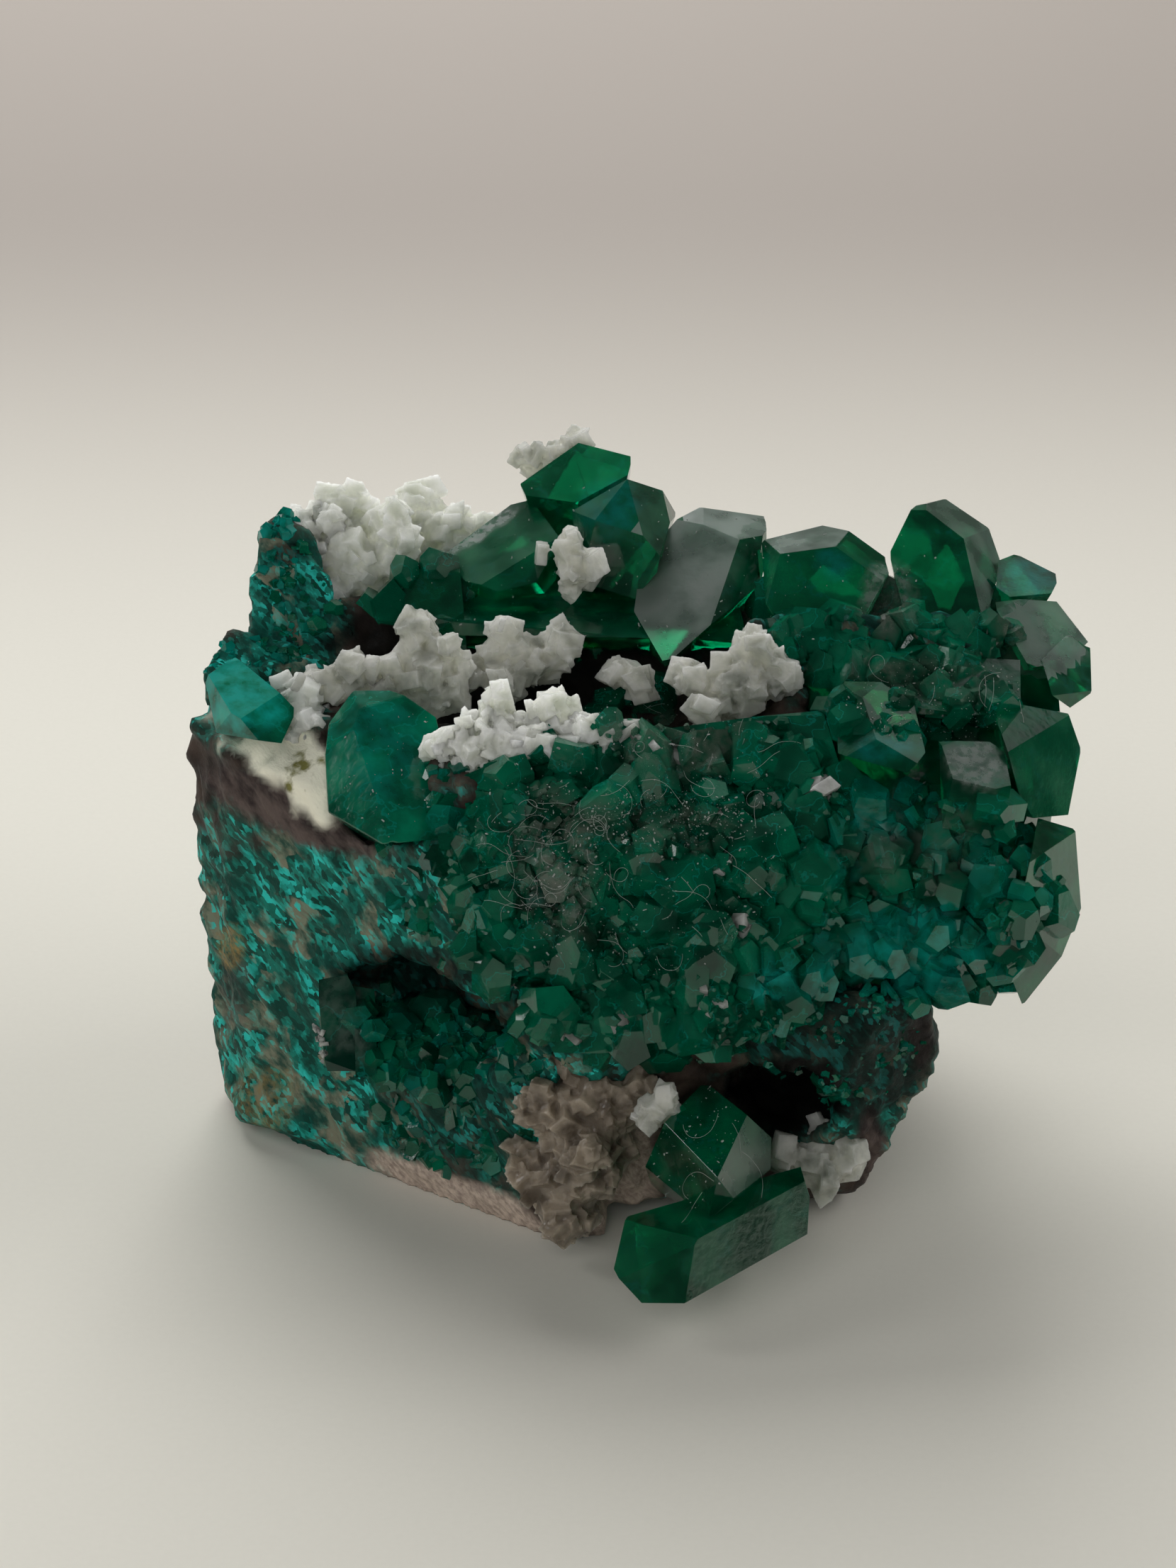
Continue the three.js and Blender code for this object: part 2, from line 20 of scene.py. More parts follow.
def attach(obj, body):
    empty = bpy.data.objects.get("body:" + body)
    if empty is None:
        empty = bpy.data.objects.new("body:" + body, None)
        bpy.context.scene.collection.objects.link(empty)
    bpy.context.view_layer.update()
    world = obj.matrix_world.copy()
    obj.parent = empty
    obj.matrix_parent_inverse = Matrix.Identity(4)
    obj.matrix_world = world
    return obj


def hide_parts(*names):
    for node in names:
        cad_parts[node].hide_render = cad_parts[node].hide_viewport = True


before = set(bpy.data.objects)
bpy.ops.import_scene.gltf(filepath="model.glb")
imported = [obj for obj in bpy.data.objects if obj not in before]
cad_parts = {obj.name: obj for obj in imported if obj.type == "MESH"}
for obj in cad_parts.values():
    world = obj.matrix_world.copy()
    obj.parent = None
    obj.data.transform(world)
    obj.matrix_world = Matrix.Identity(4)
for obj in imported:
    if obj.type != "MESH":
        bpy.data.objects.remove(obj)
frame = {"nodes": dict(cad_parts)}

MM = 0.001
PER_MM = 1 / MM
GRAIN_TURN = -50.0  # of the rock's grain in the front view, in degrees
HIDDEN, SHOWN = -0.25, 0.1  # leans of a normal toward the eye, between which a surface comes into view
RIM = (1.15, 0.7)  # where a stain starts and where it is full, in reaches of its oval
SHARE, UNDER, OVER = 0, 6, 7  # inputs of a node that mixes colours
TINY = 1e-12  # least length that a vector is divided by
LOG = logging.getLogger("specimen")

Place = tuple[float, float]
Span = tuple[float, float]  # the least and the most


class Mark(Enum):
    """What a stain, a cloud, a painted shade or a painted reflection on the specimen is, and the name of
    the layer that holds it.
    """

    CRUST = "crust"  # teal copper crust
    UMBER = "umber"  # purple-brown fibrous rock
    CREAM = "cream"  # the pale vein
    OCHRE = "ochre"  # rusty spots
    SOOT = "soot"  # painted shade: near black, in recesses and under overhangs
    ROSE = "rose"  # the pale pinkish underside
    CLOUD = "cloud"  # turquoise inclusions in a crystal, and one painted internal reflection
    FROST = "frost"  # grey dust or etching on a crystal
    DULL = "dull"  # a crystal face painted grey all over: etching, and painted reflection of the light above
    TONE = "tone"  # how light one crystal or one face is among its neighbours: chance tone, and painted light on faces of one direction


class Sight:
    """The front view of the specimen: where the eye is, and what it sees where."""

    tilt = math.radians(27.0)
    distance = 240.0
    middle = np.array([0.0, 0.0, 21.2])
    lens = 97.65
    right = np.array([1.0, 0.0, 0.0])
    up = np.array([0.0, math.sin(tilt), math.cos(tilt)])
    toward = np.array([0.0, -math.cos(tilt), math.sin(tilt)])
    eye = middle + distance * toward

    @classmethod
    def seen(cls, place: Place, depth: float = 0.0) -> np.ndarray:
        """The point at a place in the view.

        Args:
            place: Right of and above the middle.
            depth: How much nearer the eye than the middle.

        Returns:
            The point in the part's frame.
        """
        shrink = 1 - depth / cls.distance
        flat = shrink * (place[0] * cls.right + place[1] * cls.up)
        return cls.middle + flat + depth * cls.toward

    @classmethod
    def places(cls, points: np.ndarray) -> np.ndarray:
        """Where the view shows points.

        Args:
            points: One row for each point.

        Returns:
            One place a row.
        """
        from_middle = points - cls.middle
        shrink = 1 - from_middle @ cls.toward / cls.distance
        return np.stack([from_middle @ cls.right, from_middle @ cls.up], axis=1) / shrink[:, None]


@dataclass(frozen=True)
class Oval:
    """An oval in the front view."""

    middle: Place
    half: Place
    turn: float = 0.0

    def reach(self, places: np.ndarray) -> np.ndarray:
        """How far out places lie: 0 in the middle, 1 on the rim.

        Args:
            places: One place a row.

        Returns:
            One number for each place.
        """
        turn = math.radians(self.turn)
        away = places - np.array(self.middle)
        along = away[:, 0] * math.cos(turn) + away[:, 1] * math.sin(turn)
        across = away[:, 1] * math.cos(turn) - away[:, 0] * math.sin(turn)
        return np.hypot(along / self.half[0], across / self.half[1])

    def scatter(self, count: int, rng: np.random.Generator) -> np.ndarray:
        """Places strewn evenly over the oval.

        Args:
            count: How many.
            rng: Where chance comes from.

        Returns:
            One place a row.
        """
        out = np.sqrt(rng.random(count))
        around = rng.random(count) * 2 * math.pi
        along = out * np.cos(around) * self.half[0]
        across = out * np.sin(around) * self.half[1]
        turn = math.radians(self.turn)
        x = self.middle[0] + along * math.cos(turn) - across * math.sin(turn)
        y = self.middle[1] + along * math.sin(turn) + across * math.cos(turn)
        return np.stack([x, y], axis=1)


@dataclass(frozen=True)
class Stain:
    """A mark spread over an oval of the front view."""

    mark: Mark
    oval: Oval
    strength: float = 1.0


@dataclass(frozen=True)
class Facet:
    """Crystal faces of one direction in an oval of the front view, painted different as a whole: grey for
    painted reflection of the light above, some of them etched too, and lighter for painted light.

    Their direction is given as shares to the right, up and toward the eye.
    """

    mark: Mark
    oval: Oval
    way: tuple[float, float, float]
    strength: float


def ramped(values: np.ndarray, low: float, high: float) -> np.ndarray:
    """Values eased from 0 at low to 1 at high, or the other way round where low is the higher."""
    share = np.clip((values - low) / (high - low), 0, 1)
    return share * share * (3 - 2 * share)


def unit(vectors: np.ndarray) -> np.ndarray:
    """Vectors at length one."""
    return vectors / np.maximum(np.linalg.norm(vectors, axis=-1, keepdims=True), TINY)


def skewed(span: Span, power: float, count: int, rng: np.random.Generator) -> np.ndarray:
    """Sizes by chance, more of them small than large.

    Args:
        span: The least and the most.
        power: How far the small ones prevail.
        count: How many.
        rng: Where chance comes from.

    Returns:
        One size for each.
    """
    return span[0] + (span[1] - span[0]) * rng.random(count) ** power


def grain(points: np.ndarray, size: float, seed: float = 0.0) -> np.ndarray:
    """Smooth chance over space, from about -1 to 1.

    Args:
        points: One row for each point.
        size: Width of one wave.
        seed: Sets one field apart from another.

    Returns:
        One number for each point.
    """
    shift = Vector((seed, 2 * seed, -seed))
    return np.array([noise.noise(Vector(point) + shift) for point in points / size])


def grained(points: np.ndarray, stretch: float) -> np.ndarray:
    """Points in the frame of the rock's grain, drawn together along it.

    Args:
        points: One row for each point.
        stretch: How many times longer than wide the grain is.

    Returns:
        One row for each point: along the grain, across it, and toward the eye.
    """
    turn = math.radians(GRAIN_TURN)
    along = math.cos(turn) * Sight.right + math.sin(turn) * Sight.up
    across = math.cos(turn) * Sight.up - math.sin(turn) * Sight.right
    return points @ np.stack([along / stretch, across, Sight.toward], axis=1)


def chips(points: np.ndarray, size: float) -> np.ndarray:
    """Flat chips over space: 0 in the cracks between them, up to about 1 inside.

    Args:
        points: One row for each point.
        size: Width of one chip.

    Returns:
        One number for each point.
    """
    gaps = np.array([noise.voronoi(Vector(point))[0][:2] for point in points / size])
    return np.clip(2 * (gaps[:, 1] - gaps[:, 0]), 0, 1)


def met(tree: BVHTree, place: Iterable[float]) -> tuple[Vector | None, Vector | None, int | None]:
    """What the eye meets first at a place.

    Args:
        tree: What there is to see.
        place: Right of and above the middle.

    Returns:
        The point, its normal toward the eye and its face, each None where there is nothing.
    """
    right, up = place
    way = Vector(unit(Sight.seen((right, up)) - Sight.eye))
    point, normal, face, _ = tree.ray_cast(Vector(Sight.eye), way)
    if point is not None and normal.dot(way) > 0:
        normal = -normal
    return point, normal, face


def placed(name: str, data: bpy.types.ID) -> bpy.types.Object:
    """Puts a mesh, a light or a camera into the scene.

    Args:
        name: The name of its object.
        data: What it is.

    Returns:
        The object.
    """
    obj = bpy.data.objects.new(name, data)
    bpy.context.scene.collection.objects.link(obj)
    return obj


@dataclass
class Body:
    """Triangles of one body, with the layers that its finish reads."""

    points: np.ndarray
    faces: np.ndarray
    layers: dict[Mark, np.ndarray] = field(default_factory=dict)

    def tree(self) -> BVHTree:
        """The faces, ready for rays."""
        return BVHTree.FromPolygons(self.points.tolist(), self.faces.tolist())

    def spans(self) -> np.ndarray:
        """The outward normal of each face, as long as twice its area."""
        one, two, three = self.points[self.faces].transpose(1, 0, 2)
        return np.cross(two - one, three - one)

    def normals(self) -> np.ndarray:
        """One outward unit normal for each point, from all the faces around it."""
        spans = self.spans()
        total = np.zeros_like(self.points)
        for corner in range(3):
            np.add.at(total, self.faces[:, corner], spans)
        return unit(total)

    def sample(self, count: int, rng: np.random.Generator) -> tuple[np.ndarray, np.ndarray]:
        """Points strewn evenly over the surface.

        Args:
            count: How many.
            rng: Where chance comes from.

        Returns:
            The points, and the outward normals there.
        """
        spans = self.spans()
        area = np.linalg.norm(spans, axis=1)
        chosen = rng.choice(len(area), count, p=area / area.sum())
        first, second = rng.random((2, count, 1))
        fold = first + second > 1
        first, second = np.where(fold, 1 - first, first), np.where(fold, 1 - second, second)
        one, two, three = self.points[self.faces[chosen]].transpose(1, 0, 2)
        points = one + first * (two - one) + second * (three - one)
        return points, unit(spans[chosen])

    def stain(self, stains: Iterable[Stain], edge: float = 0.35, wave: float = 1.2) -> None:
        """Lays stains over the points that face the eye.

        Args:
            stains: What goes where.
            edge: How ragged the rims are.
            wave: Width of one wave of a rim.
        """
        places = Sight.places(self.points)
        facing = ramped(self.normals() @ Sight.toward, HIDDEN, SHOWN)
        ragged = edge * grain(self.points, wave)
        for each in stains:
            cover = ramped(each.oval.reach(places) + ragged, *RIM) * facing * each.strength
            old = self.layers.get(each.mark, np.zeros(len(self.points)))
            self.layers[each.mark] = np.maximum(old, cover)

    def piece(self, name: str, material: bpy.types.Material, smooth: bool = False) -> bpy.types.Object:
        """The body as an object of the scene that moves with the specimen.

        Args:
            name: The piece's name.
            material: Its finish.
            smooth: Whether its facets are shaded as one round surface.

        Returns:
            The object.
        """
        mesh = bpy.data.meshes.new(name)
        mesh.from_pydata(self.points * MM, [], self.faces)
        for mark, values in self.layers.items():
            domain = "POINT" if len(values) == len(self.points) else "FACE"
            layer = mesh.attributes.new(mark.value, "FLOAT", domain)
            layer.data.foreach_set("value", np.ascontiguousarray(values, dtype=np.float32))
        mesh.polygons.foreach_set("use_smooth", [smooth] * len(mesh.polygons))
        mesh.materials.append(material)
        obj = placed(name, mesh)
        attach(obj, "root")
        LOG.info("%s: %d triangles", name, len(self.faces))
        return obj


def merged(bodies: Iterable[Body]) -> Body:
    """Several bodies as one, with every layer that any of them has."""
    every = list(bodies)
    starts = np.cumsum([0] + [len(body.points) for body in every[:-1]])
    whole = Body(
        np.concatenate([body.points for body in every]),
        np.concatenate([body.faces + start for body, start in zip(every, starts)]),
    )
    for mark in {mark for body in every for mark in body.layers}:
        parts = [body.layers.get(mark, np.zeros(len(body.points))) for body in every]
        whole.layers[mark] = np.concatenate(parts)
    return whole


def body_of(mesh: bpy.types.Mesh, matrix: Any = None) -> Body:
    """A mesh in metres as a body.

    Args:
        mesh: Its points and faces.
        matrix: Where it stands, if it isn't in place already.

    Returns:
        The body, in millimetres.
    """
    mesh.calc_loop_triangles()
    points = np.empty(3 * len(mesh.vertices))
    mesh.vertices.foreach_get("co", points)
    points = points.reshape(-1, 3)
    if matrix is not None:
        turn = np.array(matrix)
        points = points @ turn[:3, :3].T + turn[:3, 3]
    faces = np.empty(3 * len(mesh.loop_triangles), dtype=int)
    mesh.loop_triangles.foreach_get("vertices", faces)
    return Body(points / MM, faces.reshape(-1, 3))


def fine(body: Body, voxel: float) -> Body:
    """A body cut up into even facets.

    Args:
        body: The body.
        voxel: The width of a facet.

    Returns:
        The same shape, without layers.
    """
    holder = placed("fine", bpy.data.meshes.new("fine"))
    holder.data.from_pydata(body.points * MM, [], body.faces)
    remesh = holder.modifiers.new("fine", "REMESH")
    remesh.mode = "VOXEL"
    remesh.voxel_size = voxel * MM
    depsgraph = bpy.context.evaluated_depsgraph_get()
    mesh = bpy.data.meshes.new_from_object(holder.evaluated_get(depsgraph))
    made = body_of(mesh)
    bpy.data.objects.remove(holder)
    bpy.data.meshes.remove(mesh)
    return made


class Solids:
    """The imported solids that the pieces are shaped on."""

    def __init__(self, nodes: Mapping[str, bpy.types.Object]) -> None:
        """Takes every node's mesh as a body.

        Args:
            nodes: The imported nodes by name.
        """
        self.bodies = {name: body_of(node.data, node.matrix_world) for name, node in nodes.items()}
        self.names = list(self.bodies)
        counts = [len(body.faces) for body in self.bodies.values()]
        self.owner = np.repeat(np.arange(len(counts)), counts)
        self.tree = merged(self.bodies.values()).tree()

    def named(self, start: str) -> list[str]:
        """The names of the nodes that start so."""
        return [name for name in self.names if name.startswith(start)]

    def look(self, places: np.ndarray, nodes: Iterable[str]) -> tuple[np.ndarray, np.ndarray]:
        """Where the eye sees some of the nodes.

        Args:
            places: One place a row.
            nodes: The nodes' names.

        Returns:
            The points and their outward normals, for each place where one of the nodes shows.
        """
        points = []
        normals = []
        for place in places:
            point, normal, face = met(self.tree, place)
            if point is not None and self.names[self.owner[face]] in nodes:
                points.append(point)
                normals.append(normal)
        return np.array(points), np.array(normals)


def fans(polygons: Iterable[tuple[int, ...]]) -> np.ndarray:
    """Polygons cut into triangles."""
    triangles = [(one[0], one[i], one[i + 1]) for one in polygons for i in range(1, len(one) - 1)]
    return np.array(triangles)


def frames(axes: np.ndarray, spins: np.ndarray) -> np.ndarray:
    """One turned frame for each axis, with the axis as its third direction.

    Args:
        axes: Unit directions.
        spins: Turns about them, in radians.

    Returns:
        Three directions for each axis.
    """
    aside = np.where(np.abs(axes[:, 2:]) < 0.9, [[0.0, 0.0, 1.0]], [[1.0, 0.0, 0.0]])
    first = np.cross(aside, axes)
    first /= np.linalg.norm(first, axis=1, keepdims=True)
    second = np.cross(axes, first)
    cos, sin = np.cos(spins)[:, None], np.sin(spins)[:, None]
    return np.stack([cos * first + sin * second, cos * second - sin * first, axes], axis=1)


def stood(local: np.ndarray, feet: np.ndarray, axes: np.ndarray, sides: np.ndarray,
          rng: np.random.Generator) -> Body:
    """Crystals of one kind, each turned by chance about its own axis.

    Args:
        local: The corners of each one in its own frame.
        feet: Where each frame stands.
        axes: Which way each one grew.
        sides: The triangles of one.
        rng: Where chance comes from.

    Returns:
        All of them as one body, each with its own tone.
    """
    count, corners, _ = local.shape
    turn = frames(axes, rng.uniform(0, 2 * math.pi, count))
    points = np.einsum("nki,nij->nkj", local, turn) + feet[:, None]
    faces = sides + corners * np.arange(count)[:, None, None]
    tone = np.repeat(rng.random(count), corners)
    return Body(points.reshape(-1, 3), faces.reshape(-1, 3), {Mark.TONE: tone})


class Prism:
    """A six-sided dioptase prism whose free end has three steep faces that meet at its tip."""

    end_tilt = math.radians(51.0)
    squeeze = (0.7, 1.15)
    shortest = 1.2  # least length, in heights of the free end
    corners = 16
    sides = fans([
        (0, 3, 4, 5, 1), (0, 1, 6, 7, 2), (0, 2, 8, 9, 3), (10, 11, 5, 4), (11, 12, 6, 1, 5),
        (12, 13, 7, 6), (13, 14, 8, 2, 7), (14, 15, 9, 8), (15, 10, 4, 3, 9), (15, 14, 13, 12, 11, 10),
    ])

    @classmethod
    def grown(cls, tips: np.ndarray, axes: np.ndarray, radii: np.ndarray, lengths: np.ndarray,
              rng: np.random.Generator) -> Body:
        """Prisms of many sizes, a little out of true.

        Args:
            tips: Where they end.
            axes: Which way they grew.
            radii: From their middles to their corners.
            lengths: From their tips to their roots.
            rng: Where chance comes from.

        Returns:
            All of them as one body, each with its own tone.
        """
        flat = math.cos(math.pi / 6)
        fall = math.tan(cls.end_tilt) * flat
        mids = np.radians([90, 210, 330])
        ring = np.radians([0, 60, 120, 180, 240, 300])
        top = np.array(
            [(0, 0, 0)]
            + [(flat * math.cos(a), flat * math.sin(a), -fall / 2) for a in mids]
            + [(math.cos(a), math.sin(a), -fall) for a in ring]
        )
        foot = np.array([(math.cos(a), math.sin(a), 0) for a in ring])
        squeeze = rng.uniform(*cls.squeeze, (len(tips), 1, 3))
        tops = top * squeeze * radii[:, None, None]
        feet = foot * squeeze * radii[:, None, None]
        feet[:, :, 2] -= np.maximum(lengths, cls.shortest * fall * radii)[:, None]
        return stood(np.concatenate([tops, feet], axis=1), tips, axes, cls.sides, rng)


class Rhomb:
    """A calcite cleavage rhomb: a leaning block, narrower at its free end."""

    lean = 0.27
    slim = (0.35, 1.0)
    taper = (0.7, 1.0)
    uneven = 0.2
    sides = fans([(3, 2, 1, 0), (4, 5, 6, 7), (0, 1, 5, 4), (1, 2, 6, 5), (2, 3, 7, 6), (3, 0, 4, 7)])

    @classmethod
    def grown(cls, roots: np.ndarray, axes: np.ndarray, widths: np.ndarray, heights: np.ndarray,
              rng: np.random.Generator) -> Body:
        """Rhombs of many sizes.

        Args:
            roots: The middles of their lower ends.
            axes: Which way they grew.
            widths: Across their broad sides.
            heights: From root to free end.
            rng: Where chance comes from.

        Returns:
            All of them as one body, each with its own tone.
        """
        count = len(roots)
        square = np.array([(-0.5, -0.5), (0.5, -0.5), (0.5, 0.5), (-0.5, 0.5)])
        thick = widths * rng.uniform(*cls.slim, count)
        plan = square[None] * np.stack([widths, thick], axis=1)[:, None]
        taper = rng.uniform(*cls.taper, (count, 1, 1))
        shift = cls.lean * heights[:, None, None] * rng.uniform(-1.0, 1.0, (count, 1, 2))
        low = np.concatenate([plan, np.zeros((count, 4, 1))], axis=2)
        tilt = heights[:, None, None] * (1 + rng.uniform(-cls.uneven, cls.uneven, (count, 4, 1)))
        high = np.concatenate([plan * taper + shift, tilt], axis=2)
        return stood(np.concatenate([low, high], axis=1), roots, axes, cls.sides, rng)


def linear(colour: str) -> tuple[float, float, float, float]:
    """An sRGB hex colour as linear light with full cover."""
    shares = [int(colour[i:i + 2], 16) / 255 for i in (1, 3, 5)]
    red, green, blue = (s / 12.92 if s <= 0.04045 else ((s + 0.055) / 1.055) ** 2.4 for s in shares)
    return red, green, blue, 1.0


class Kind(Enum):
    """A kind of node, with the output of it that is used."""

    SPACE = ("ShaderNodeTexCoord", "Object")
    WAY = ("ShaderNodeTexCoord", "Generated")
    LAYER = ("ShaderNodeAttribute", "Fac")
    NOISE = ("ShaderNodeTexNoise", "Fac")
    WARP = ("ShaderNodeTexNoise", "Color")
    DRAW = ("ShaderNodeTexVoronoi", "Color")
    DEPTH = ("ShaderNodeSeparateXYZ", "Y")
    DOT = ("ShaderNodeVectorMath", "Value")
    SUM = ("ShaderNodeVectorMath", "Vector")
    JOIN = ("ShaderNodeCombineXYZ", "Vector")
    RANGE = ("ShaderNodeMapRange", "Result")
    MATH = ("ShaderNodeMath", "Value")
    MIX = ("ShaderNodeMix", 2)
    BUMP = ("ShaderNodeBump", "Normal")
    ABSORB = ("ShaderNodeVolumeAbsorption", "Volume")


class Recipe:
    """The nodes of a material or of the world."""

    def __init__(self, owner: bpy.types.Material | bpy.types.World) -> None:
        """Starts from the nodes that the owner has of itself."""
        owner.use_nodes = True
        self.owner = owner
        self.tree = owner.node_tree

    def add(self, kind: Kind, inputs: Mapping[Any, Any] | None = None,
            **settings: Any) -> bpy.types.NodeSocket:
        """Adds a node with its settings and links.

        Args:
            kind: What it does.
            inputs: A value, a colour in hex or an output for each input.
            settings: The node's own properties.

        Returns:
            Its output.
        """
        name, output = kind.value
        node = self.tree.nodes.new(name)
        for setting, value in settings.items():
            setattr(node, setting, value)
        self.feed(node, inputs or {})
        return node.outputs[output]

    def feed(self, node: bpy.types.Node, inputs: Mapping[Any, Any]) -> None:
        """Sets or links a node's inputs.

        Args:
            node: The node.
            inputs: A value, a colour in hex or an output for each input.
        """
        for name, value in inputs.items():
            if isinstance(value, bpy.types.NodeSocket):
                self.tree.links.new(value, node.inputs[name])
            else:
                node.inputs[name].default_value = linear(value) if isinstance(value, str) else value

    def finish(self, shader: Mapping[Any, Any],
               volume: bpy.types.NodeSocket | None = None) -> bpy.types.Material:
        """Feeds the material's shader.

        Args:
            shader: What goes into it.
            volume: What fills the material inside, if light passes through it.

        Returns:
            The finished material.
        """
        self.feed(self.tree.nodes["Principled BSDF"], shader)
        if volume:
            self.feed(self.tree.nodes["Material Output"], {"Volume": volume})
        return self.owner


@dataclass(frozen=True)
class Dioptase:
    """Dioptase with natural crystal faces: glassy and deep emerald, lighter where it is flawed inside,
    with painted reflection and painted light on faces marked for them.
    """

    name: str
    deep: str = "#00573B"
    bright: str = "#00A26C"
    cloud: str = "#10A99A"
    frost: str = "#9AABA0"
    tint: str = "#38E0A8"
    density: float = 120.0
    transmission: float = 0.75
    ior: float = 1.66
    level: float = 0.3
    flaw: float = 2.4
    veil: float = 0.9
    rime: float = 0.5
    shine: float = 0.2

    def material(self) -> bpy.types.Material:
        """The finish as a material."""
        made = Recipe(bpy.data.materials.new(self.name))
        space = made.add(Kind.SPACE)
        # Healed cracks and cloudy zones inside: they catch the light, so the green is lighter there.
        inside = made.add(Kind.NOISE, {"Vector": space, "Scale": PER_MM / self.flaw, "Detail": 4.0})
        flaws = made.add(Kind.RANGE, {"Value": inside, "From Min": 0.4, "From Max": 0.75})
        tone = made.add(Kind.LAYER, attribute_name=Mark.TONE.value)
        own = made.add(Kind.MATH, {0: tone, 1: 0.5}, operation="MULTIPLY")
        crack = made.add(Kind.MATH, {0: inside, 1: 0.52}, operation="SUBTRACT")
        crack = made.add(Kind.MATH, {0: crack}, operation="ABSOLUTE")
        crack = made.add(Kind.RANGE, {"Value": crack, "From Max": 0.012, "To Min": 0.35, "To Max": 0.0})
        # Turquoise copper silicate shut inside the crystal: milky patches of a bluer green. On the middle
        # crest crystal the cloud layer is a painted internal reflection.
        patch = made.add(Kind.NOISE, {"Vector": space, "Scale": PER_MM / self.veil, "Detail": 4.0})
        patch = made.add(Kind.RANGE, {"Value": patch, "From Min": 0.3, "From Max": 0.62})
        cloud = made.add(Kind.LAYER, attribute_name=Mark.CLOUD.value)
        milk = made.add(Kind.MATH, {0: cloud, 1: patch}, operation="MULTIPLY")
        # Etched and dusty faces, and faces painted grey as painted reflection of the light above: grey,
        # and too rough to mirror anything.
        grit = made.add(Kind.NOISE, {"Vector": space, "Scale": PER_MM / self.rime, "Detail": 6.0})
        grit = made.add(Kind.RANGE, {"Value": grit, "From Min": 0.3, "From Max": 0.62})
        frost = made.add(Kind.LAYER, attribute_name=Mark.FROST.value)
        dull = made.add(Kind.LAYER, attribute_name=Mark.DULL.value)
        rime = made.add(Kind.MATH, {0: frost, 1: grit}, operation="MULTIPLY")
        even = made.add(Kind.RANGE, {"Value": inside, "From Min": 0.38, "From Max": 0.6, "To Min": 0.6})
        dull = made.add(Kind.MATH, {0: dull, 1: even}, operation="MULTIPLY")
        rime = made.add(Kind.MATH, {0: rime, 1: dull}, operation="MAXIMUM")
        coats = (
            (flaws, self.bright), (own, self.bright), (crack, self.cloud), (milk, self.cloud),
            (rime, self.frost),
        )
        body = self.deep
        for share, colour in coats:
            body = made.add(Kind.MIX, {SHARE: share, UNDER: body, OVER: colour}, data_type="RGBA")
        rough = made.add(Kind.MATH, {0: inside, 1: self.shine}, operation="MULTIPLY")
        rough = made.add(Kind.MATH, {0: rime, 1: 0.35, 2: rough}, operation="MULTIPLY_ADD")
        relief = {"Height": grit, "Distance": 0.05 * MM, "Strength": 0.1}
        depth = None
        if self.density:
            depth = made.add(Kind.ABSORB, {"Color": self.tint, "Density": self.density})
        return made.finish({
            "Base Color": body,
            "Roughness": rough,
            "IOR": self.ior,
            "Specular IOR Level": self.level,
            "Transmission Weight": self.transmission,
            "Normal": made.add(Kind.BUMP, relief),
        }, depth)


@dataclass(frozen=True)
class Calcite:
    """Calcite with fresh cleavage faces: sugary white, cloudy, with a soft shine."""

    name: str
    pale: str = "#F7F7EC"
    shade: str = "#CFD1C4"
    ior: float = 1.6
    transmission: float = 0.0
    patch: float = 1.6
    sugar: float = 0.3
    glow: float = 2.0

    def material(self) -> bpy.types.Material:
        """The finish as a material."""
        made = Recipe(bpy.data.materials.new(self.name))
        space = made.add(Kind.SPACE)
        # Clear and cloudy zones side by side: the clear ones look greyer, since they show what is behind.
        mottle = made.add(Kind.NOISE, {"Vector": space, "Scale": PER_MM / self.patch, "Detail": 4.0})
        mottle = made.add(Kind.RANGE, {"Value": mottle, "From Min": 0.38, "From Max": 0.7})
        tone = made.add(Kind.LAYER, attribute_name=Mark.TONE.value)
        own = made.add(Kind.RANGE, {"Value": tone, "From Min": 0.6, "To Max": 0.5})
        body = self.pale
        for share in (mottle, own):
            body = made.add(Kind.MIX, {SHARE: share, UNDER: body, OVER: self.shade}, data_type="RGBA")
        sugar = made.add(Kind.NOISE, {"Vector": space, "Scale": PER_MM / self.sugar, "Detail": 3.0})
        relief = {"Height": sugar, "Distance": 0.1 * MM, "Strength": 0.5}
        return made.finish({
            "Base Color": body,
            "Roughness": 0.25,
            "IOR": self.ior,
            "Transmission Weight": self.transmission,
            "Subsurface Weight": 0.9,
            "Subsurface Radius": (1.0, 1.0, 0.95),
            "Subsurface Scale": self.glow * MM,
            "Normal": made.add(Kind.BUMP, relief),
        })


